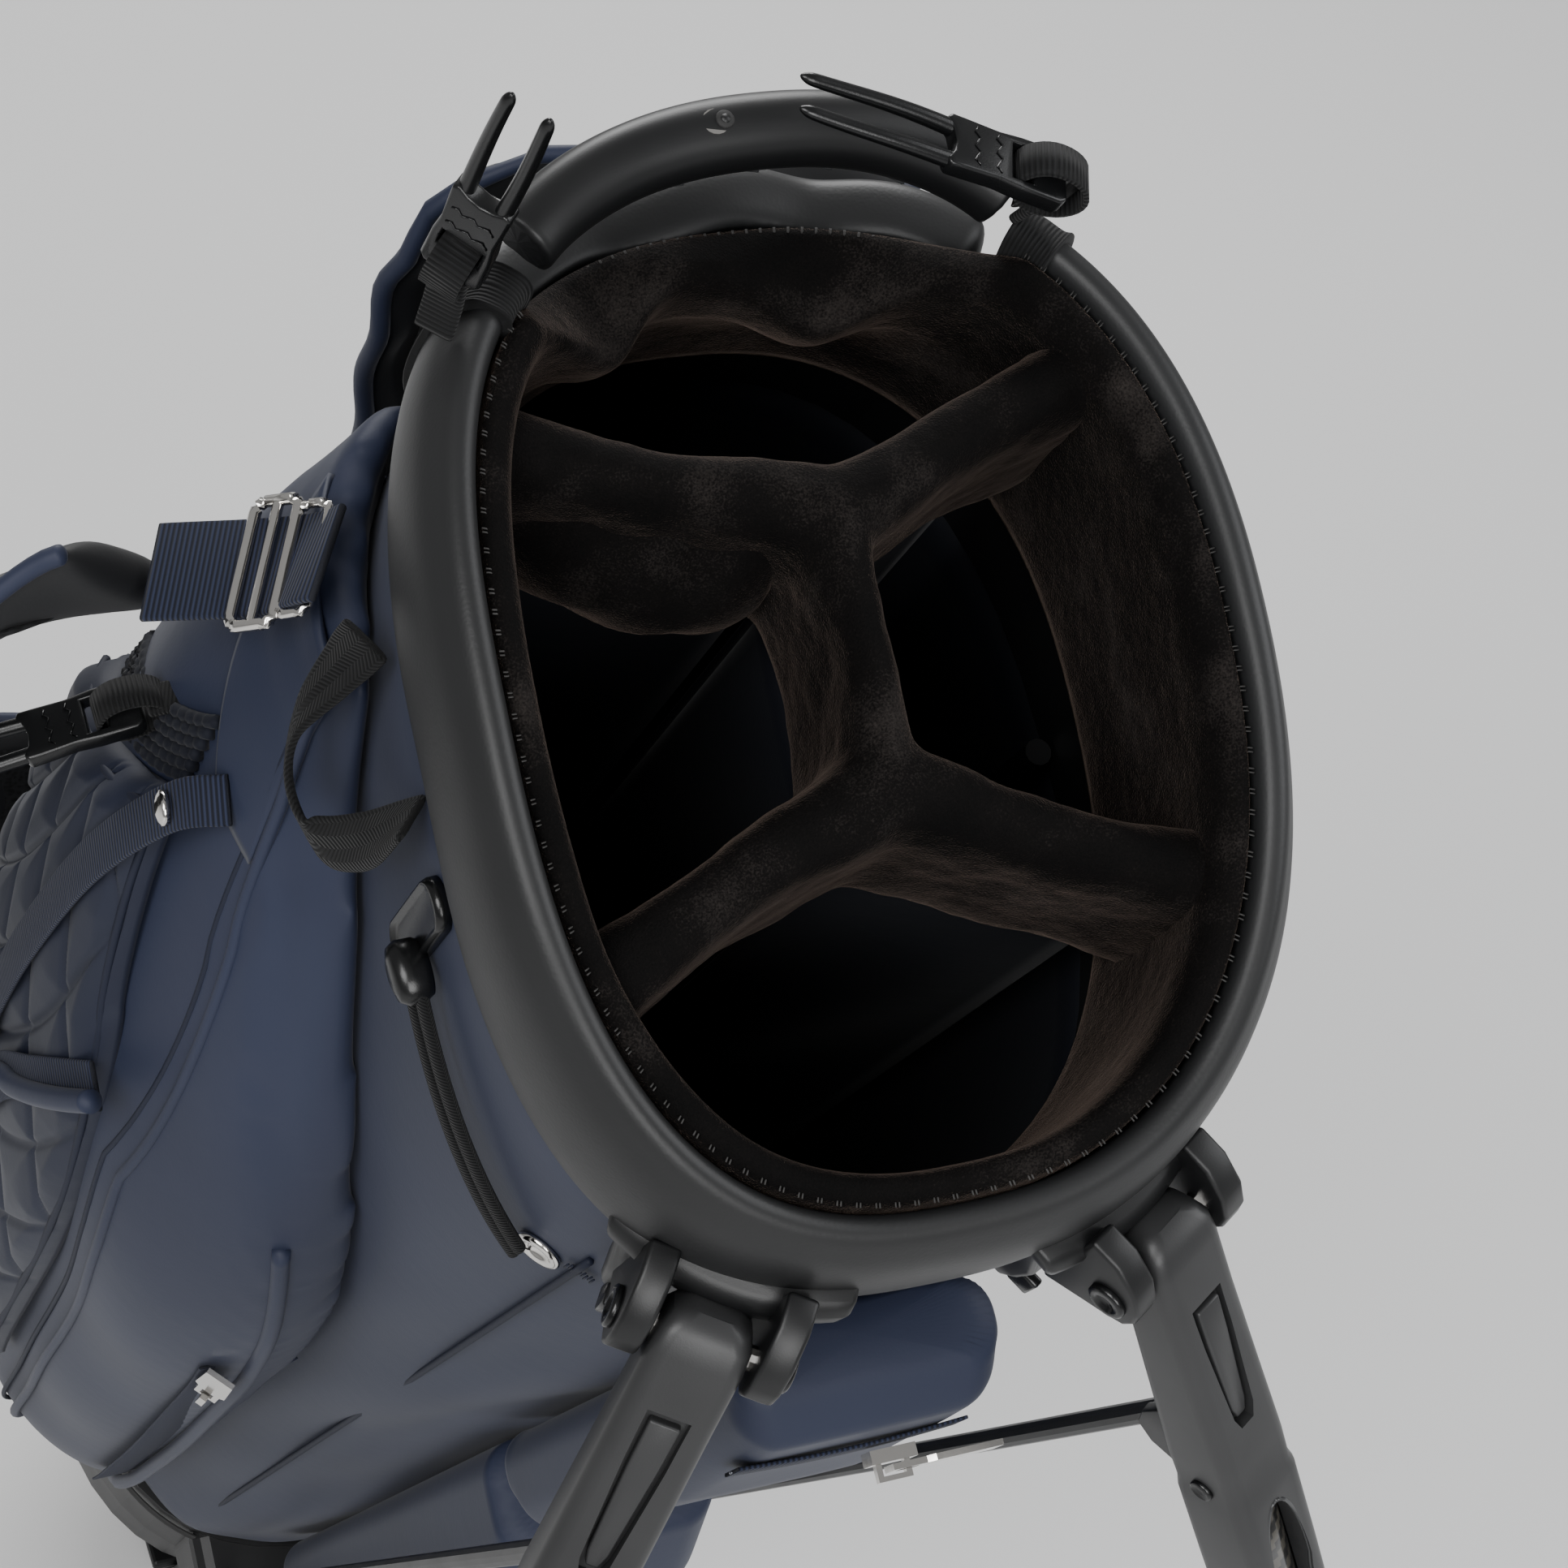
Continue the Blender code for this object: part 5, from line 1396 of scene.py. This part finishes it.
def build_pouch_straps():
    """Two flat straps down the pouch: one ends under a domed snap, one carries a plain flat rivet."""
    for name, (keys, wide, size, tall) in STRAP_RUNS.items():
        spots = [pouch_out(angle, z, lift) for angle, z, lift in keys]
        outwards = [face_direction(angle, z) for angle, z, _ in keys]
        ribbon(f"pouch_strap_{name}", spots, wide, outwards)
        at = 1 if name == "upper" else 3
        angle, z, lift = keys[at]
        stud(f"pouch_stud_{name}", pouch_out(angle, z, lift + 0.0008), outwards[at], size, tall)
    run = [pouch_out(185.5 - 7.0 * n / 30, 0.622 - 0.070 * n / 30, 0.0175) for n in range(31)]
    tubes("pouch_loop", [(run, 0.0032)], 14, "navy_fabric")


def build_gusset():
    """Ribbed elastic that gathers the pocket above the pouch."""
    cords = []
    for row in range(6):
        line = []
        for n in range(51):
            share = 0.05 + 0.90 * n / 50
            z = pouch_top(share) + 0.0035 + 0.0038 * row
            angle = POUCH_START + (pouch_end(z) - POUCH_START) * share
            line.append(pouch_out(angle, z, 0.0022 + 0.0004 * math.sin(n * 1.9 + row)))
        cords.append((line, 0.0018))
    tubes("elastic_gusset", cords, 8, "navy_ribbing")


def build_corner_flap():
    """A pointed facing sewn over the pocket's top front corner."""
    rows = []
    for i in range(24):
        fall = i / 23
        z = 0.771 - 0.062 * fall
        left, right = 0.36 + 0.40 * fall, 0.93 - 0.06 * fall
        row = []
        for start, end, lift in ((left, right, 0.0022), (right, left, 0.0006)):
            for j in range(21):
                share = start + (end - start) * j / 20
                row.append(pocket_skin(share, z, SIDE_POCKET_LEFT, SIDE_POCKET_BACK_LEFT, lift))
        rows.append(row)
    skin("corner_flap", rows, "navy_fabric")


def build_front_pocket(node, name, levels, zipped):
    rows = []
    low, high = levels[0][0], levels[-1][0]
    for i in range(70):
        z = low + (high - low) * i / 69
        depth = section_at(levels, z)[0]
        back = -shell_size(z)[1] - 0.0012
        row = []
        for x, y in rounded_profile(0.069, depth, min(0.012, depth * 0.44), 8):
            front = max(0.0, -y / (depth / 2 + 1e-6))
            puffed = 0.0020 * front * math.cos(x / 0.0345 * 1.4)
            puffed += 0.0010 * front * wave((x * 30, z * 20, 1), 1.0, 6)
            row.append(Vector((x, back - depth / 2 + y - puffed, z)))
        rows.append(row)
    pocket = skin(name, rows, "navy_fabric")
    refine(pocket)
    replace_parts(pocket, node)
    if zipped:
        z = FRONT_ZIP_Z
        build_coil("front_coil", [Vector((-0.030 + 0.060 * n / 40, -shell_size(z)[1] - 0.0336
                                          - 0.0012 * math.cos((n - 20) / 20 * 1.4), z)) for n in range(41)])


def build_coil(name, path):
    """Zip tape with its two rows of teeth."""
    spots = resample(path, max(20, int(along_lengths(path)[-1] / 0.0014)))
    cords = []
    for i in range(len(spots) - 1):
        ahead = (spots[i + 1] - spots[i]).normalized()
        over = ahead.cross(Vector((0, 1, 0))).normalized() * (0.0011 if i % 2 else -0.0011)
        cords.append(([spots[i] - over * 0.4, spots[i] + over], 0.00042))
    tubes(f"{name}_teeth", cords, 6, "dim_metal")
    tape = rows_along(spots, rounded_profile(0.0120, 0.0009, 0.0003, 1), Vector((0, -1, 0)))
    skin(f"{name}_tape", tape, "navy_tape")


def build_zips():
    for name, levels, back in (("left", SIDE_POCKET_LEFT, SIDE_POCKET_BACK_LEFT),
                               ("right", SIDE_POCKET_RIGHT, SIDE_POCKET_BACK_RIGHT)):
        line = []
        for n in range(61):
            z = SIDE_ZIP_LOW + (SIDE_ZIP_HIGH - SIDE_ZIP_LOW) * n / 60
            line.append(pocket_skin(SIDE_ZIP_SHARE, z, levels, back, 0.0008))
        build_coil(f"side_coil_{name}", line)


# Straps, loop and bungee
def build_towel_loop():
    keys = [(-0.0975, 0.036, 0.797), (-0.1020, 0.034, 0.785), (-0.1100, 0.028, 0.770),
            (-0.1135, 0.016, 0.762), (-0.1100, 0.003, 0.760), (-0.1030, -0.004, 0.775),
            (-0.0965, -0.006, 0.797)]
    path = smooth(keys, 90)
    lifts = []
    for i in range(len(path)):
        turn = math.radians(-35 + 75 * i / (len(path) - 1) + 18 * math.sin(i / 14))
        lifts.append(Vector((-math.cos(turn), math.sin(turn), -0.25)))
    half = [(-0.0064, -0.0009), (-0.0068, 0.0), (-0.0064, 0.0009), (-0.0030, 0.0011), (0, 0.0009),
            (0.0030, 0.0011)]
    profile = half + [(-x, -y) for x, y in half]
    loop = skin("towel_webbing", rows_along(path, profile, lifts), "twill_webbing")
    refine(loop)
    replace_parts(loop, "towel_loop")


ANCHOR_LEVELS = ((0, 1.0), (0.0022, 1.0), (0.0034, 0.93), (0.0036, 0.84), (0.0026, 0.78), (0.0024, 0.60))


def bungee_spot(share, offset, out):
    (near, near_z), (far, far_z) = BUNGEE_NEAR, BUNGEE_FAR
    return shell_point(near + (far - near) * share, near_z + (far_z - near_z) * share + offset, out)


def build_bungee():
    """Twin elastic cords from an oval anchor with a knob to a round eyelet, and a sewn bar by the eyelet."""
    middle = BUNGEE_NEAR[0] - 4.5
    outwards = (shell_point(middle, 0.770, 0.01) - shell_point(middle, 0.770)).normalized()
    across = Vector((-outwards.y, outwards.x, 0)).normalized()
    centre = shell_point(middle, 0.770, 0.0009)
    rows = []
    for out, grow in ANCHOR_LEVELS:
        rows.append([centre + across * x * grow + Vector((0, 0, z * (1 - (1 - grow) * 0.4))) + outwards * out
                     for x, z in rounded_profile(0.013, 0.046, 0.0064, 7)])
    anchor = skin("bungee_plate", rows, "glossy_moulding")
    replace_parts(anchor, "bungee_anchor")
    for side in (-1, 1):
        line = [bungee_spot(n / 60, side * BUNGEE_SPREAD / 2 * (1 - 0.3 * (n / 60) ** 3), BUNGEE_STANDOFF)
                for n in range(61)]
        rows = rows_along(line, circle(BUNGEE_RADIUS, 14), [p.normalized() for p in line])
        cord = skin(f"bungee_strand_{side_name(side)}", capped(rows), "cord_weave")
        if side < 0:
            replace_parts(cord, "bungee_cord")
    knob = shell_point(BUNGEE_NEAR[0] - 1.0, BUNGEE_NEAR[1] + 0.001, 0.0066)
    outline = ((-0.004, 0.9), (-0.002, 1.06), (0.002, 1.08), (0.004, 0.9), (0.0048, 0.5))
    turned("bungee_knob", facing(knob, outwards), outline, 0.0048, 32, "glossy_moulding", "black_moulding",
           stretch=1.5)
    far, level = BUNGEE_FAR[0] + 2.5, BUNGEE_FAR[1] - 0.004
    away = (shell_point(far, level, 0.01) - shell_point(far, level)).normalized()
    outline = ((0.0, 1.0), (0.0008, 1.03), (0.0017, 0.94), (0.0018, 0.72), (0.0010, 0.56), (0.0002, 0.50))
    place = facing(shell_point(far, level, 0.0010), away)
    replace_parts(turned("bungee_eyelet", place, outline, 0.0062, 40, "bright_metal"), "bungee_grommet")
    cords = []
    for n in range(9):
        angle, base = far + 4.4 + n * 0.55, level + 0.004 + 0.0014 * (n % 2)
        cords.append(([shell_point(angle, base + rise, 0.0022) for rise in (0.0, 0.0040)], 0.0003))
    tubes("bungee_bar_tack", cords, 5, "navy_thread")


STRAP_LEFT = (
    ((-0.020, 0.137, 0.772), (0.0, 1.0, 0.0)),
    ((-0.030, 0.148, 0.775), (-0.3, 1.0, 0.0)),
    ((-0.038, 0.151, 0.762), (-0.5, 0.8, 0.0)),
    ((-0.040, 0.148, 0.735), (-0.6, 0.8, 0.0)),
    ((-0.035, 0.145, 0.690), (-0.6, 0.8, 0.0)),
    ((-0.026, 0.143, 0.630), (-0.5, 0.9, 0.0)),
    ((-0.022, 0.140, 0.560), (-0.3, 1.0, 0.0)),
    ((-0.016, 0.140, 0.480), (-0.2, 1.0, 0.0)),
    ((-0.022, 0.144, 0.400), (-0.2, 1.0, -0.1)),
    ((-0.060, 0.152, 0.340), (-0.2, 0.9, -0.4)),
    ((-0.130, 0.150, 0.330), (-0.2, 0.7, -0.7)),
    ((-0.195, 0.135, 0.370), (-0.6, 0.5, -0.6)),
    ((-0.235, 0.115, 0.460), (-0.8, 0.5, -0.2)),
    ((-0.240, 0.098, 0.560), (-0.85, 0.5, 0.1)),
    ((-0.213, 0.088, 0.650), (-0.65, 0.65, 0.3)),
    ((-0.170, 0.082, 0.713), (-0.3, 0.85, 0.35)),
    ((-0.137, 0.078, 0.741), (0.2, 0.95, 0.2)),
)
STRAP_RIGHT = (
    (0.034, 0.131, 0.772), (0.041, 0.146, 0.779), (0.047, 0.156, 0.762), (0.052, 0.163, 0.715),
    (0.052, 0.166, 0.640), (0.050, 0.160, 0.560), (0.046, 0.148, 0.480), (0.042, 0.131, 0.405),
)


def blended_lifts(path, keys):
    """Outward direction at each path point, blended from (spot, lift) keys by closeness."""
    lifts = []
    for point in path:
        total = Vector((0, 0, 0))
        for spot, lift in keys:
            total += Vector(lift).normalized() / ((point - Vector(spot)).length_squared + 1e-6)
        lifts.append(total.normalized())
    return lifts


def strap_section(share):
    """Padded strap in section: crowned face, flatter back and a thin edge; it puckers along its length."""
    pucker = 0.0007 * math.sin(share * 150) + 0.0006 * math.sin(share * 63 + 1)
    fat = 0.0062 + pucker
    return [(-0.0270, 0.0), (-0.0262, 0.0018), (-0.0225, 0.0036), (-0.0150, fat * 0.95),
            (-0.0060, fat * 1.05), (0.0060, fat * 1.05), (0.0150, fat * 0.95), (0.0225, 0.0036),
            (0.0262, 0.0018), (0.0270, 0.0), (0.0262, -0.0018), (0.0225, -0.0040), (0.0120, -fat),
            (0.0, -fat * 1.04), (-0.0120, -fat), (-0.0225, -0.0040), (-0.0262, -0.0018)]


def build_shoulder_strap(side, path, lifts):
    strap = sweep(f"strap_pad_{side}", path, strap_section, "strap_skin", lift=lifts, domes=True)
    refine(strap)
    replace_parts(strap, f"shoulder_strap_{side}")
    for edge in (-1, 1):
        profile = [(edge * 0.0268 + x, y) for x, y in circle(0.0026, 12)]
        rows = rows_along(path, profile, lifts)
        skin(f"strap_edge_{side}_{side_name(edge)}", capped(rows), "navy_fabric")
    inner = [(-0.0180, -0.0058), (-0.0150, -0.0068), (0.0150, -0.0068), (0.0180, -0.0058), (0.0150, -0.0050),
             (-0.0150, -0.0050)]
    skin(f"strap_mesh_{side}", capped(rows_along(path[6:-6], inner, lifts[6:-6])), "strap_mesh")


WEB_KEYS = ((-0.0990, 0.0610, 0.786), (-0.1080, 0.0660, 0.767), (-0.1310, 0.0755, 0.7465))


def build_straps():
    left = smooth([spot for spot, _ in STRAP_LEFT], 240)
    build_shoulder_strap("left", left, blended_lifts(left, STRAP_LEFT))
    right = smooth(STRAP_RIGHT, 150)
    lifts = []
    for i, point in enumerate(right):
        centre = Vector((0.04, 0.120, 0.74)).lerp(Vector((0.04, 0.02, 0.45)), i / (len(right) - 1))
        lifts.append((point - centre).normalized())
    build_shoulder_strap("right", right, lifts)
    rows = []
    for i in range(30):
        z = 0.600 + (0.7585 - 0.600) * i / 29
        half = 0.030 + 0.016 * math.sin(math.pi * min(1, i / 24) * 0.55)
        back = shell_point(90, z, 0.001).y
        rows.append([Vector((x, back + 0.0032 + y + 0.0006 * math.sin(x * 200) * math.sin(i), z))
                     for x, y in rounded_profile(2 * half, 0.0062, 0.0026, 4)])
    yoke = skin("yoke_cloth", rows, "navy_fabric")
    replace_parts(yoke, "strap_yoke")
    build_slider()
    web = smooth(WEB_KEYS, 50)
    flat = rounded_profile(0.025, 0.0020, 0.0007, 2)
    tape = skin("strap_tape", rows_along(web, flat, Vector((0, 0, 1))), "navy_tape")
    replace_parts(tape, "strap_webbing_left")


def build_slider():
    """A plain ladder slider on the webbing: rounded frame, middle bar and a ring on each side."""
    start, middle, end = (Vector(key) for key in WEB_KEYS)
    along = (end - start).normalized()
    lift = (Vector((0, 0, 1)) - along * along.z).normalized()
    across = along.cross(lift)
    cords = []
    for shift, half_long, half_wide, radius in ((0.0, 0.0065, 0.0160, 0.0015), (0.0, 0.0, 0.0150, 0.0013),
                                                (-0.0115, 0.0045, 0.0140, 0.0012)):
        rim = []
        corner = min(0.003, half_long * 0.8 + 0.00004)
        for x, y in rounded_profile(2 * half_wide, 2 * half_long + 0.0001, corner, 4):
            rim.append(middle + across * x + along * (y + shift) + lift * 0.0022)
        cords.append((rim + [rim[0]], radius))
    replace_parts(tubes("strap_slider", cords, 10, "bright_metal"), "strap_slider_left")


# Studio
def build_camera():
    spot, aim = BAG @ CAMERA_SPOT, BAG @ CAMERA_AIM
    ahead = (aim - spot).normalized()
    side = ahead.cross(Vector((0, 0, 1))).normalized()
    up = side.cross(ahead)
    level = Matrix((side, up, -ahead)).transposed().to_4x4()
    data = bpy.data.cameras.new("camera")
    data.lens = CAMERA_LENS
    data.sensor_width = 36
    camera = bpy.data.objects.new("camera", data)
    camera.matrix_world = Matrix.Translation(spot) @ level @ Matrix.Rotation(CAMERA_ROLL, 4, "Z")
    bpy.context.scene.collection.objects.link(camera)
    bpy.context.scene.camera = camera


def area_light(name, spot, aim, size, power, colour=(1, 1, 1)):
    data = bpy.data.lights.new(name, "AREA")
    data.shape = "RECTANGLE"
    data.size, data.size_y = size
    data.energy = power
    data.color = colour
    light = bpy.data.objects.new(name, data)
    light.location = spot
    light.rotation_euler = (Vector(aim) - Vector(spot)).to_track_quat("-Z", "Y").to_euler()
    bpy.context.scene.collection.objects.link(light)


def build_studio():
    bpy.ops.mesh.primitive_plane_add(size=30, location=(0, 0, -0.0005))
    floor = bpy.context.active_object
    floor.name = "floor"
    paint = Surface("floor_paint", (0.56, 0.56, 0.56), 0.9)
    paint.rough(paint.noise(3, 2), 0.85, 0.95)
    floor.data.materials.append(paint.material)
    world = bpy.data.worlds.new("studio")
    bpy.context.scene.world = world
    world.use_nodes = True
    world.node_tree.nodes["Background"].inputs["Color"].default_value = (1.0, 1.0, 1.0, 1)
    world.node_tree.nodes["Background"].inputs["Strength"].default_value = 0.33
    area_light("key", (-1.6, -1.3, 2.4), (0, -0.3, 0.7), (1.4, 1.4), 62)
    area_light("fill", (1.8, -0.6, 1.8), (0, -0.2, 0.7), (1.6, 1.6), 34, (0.97, 0.98, 1))
    area_light("front", (-0.3, -2.3, 1.5), (0, -0.2, 0.6), (1.2, 1.2), 42)
    area_light("rim", (0.4, 1.9, 1.9), (0, -0.2, 0.8), (1.6, 1.0), 55)


def dress_frame():
    """Carried-over CAD nodes take the detailed material of their slot."""
    slots = {s["node"]: s["material_slot"] for s in frame["record"]["subparts"]}
    for name, node in frame["nodes"].items():
        look = LOOKS[slots[name]]
        if not node.data.materials:
            node.data.materials.append(look)
        for i in range(len(node.data.materials)):
            node.data.materials[i] = look


build_camera()
build_studio()
dress_frame()
build_collar()
build_bindings()
build_lining()
build_back_lip()
build_stitches()
build_dividers()
build_curtains()
build_flap()
build_handle()
build_clips()
for leg_side in (-1, 1):
    build_bracket(leg_side)
    build_knuckle(leg_side)
build_shell()
build_liner()
build_base()
build_side_pocket("left", SIDE_POCKET_LEFT, SIDE_POCKET_BACK_LEFT)
build_side_pocket("right", SIDE_POCKET_RIGHT, SIDE_POCKET_BACK_RIGHT)
build_pouch()
build_front_pocket("front_pocket", "front_pocket_cloth", FRONT_POCKET, True)
build_front_pocket("ball_pocket", "ball_pocket_cloth", BALL_POCKET, False)
build_zips()
build_towel_loop()
build_bungee()
build_straps()
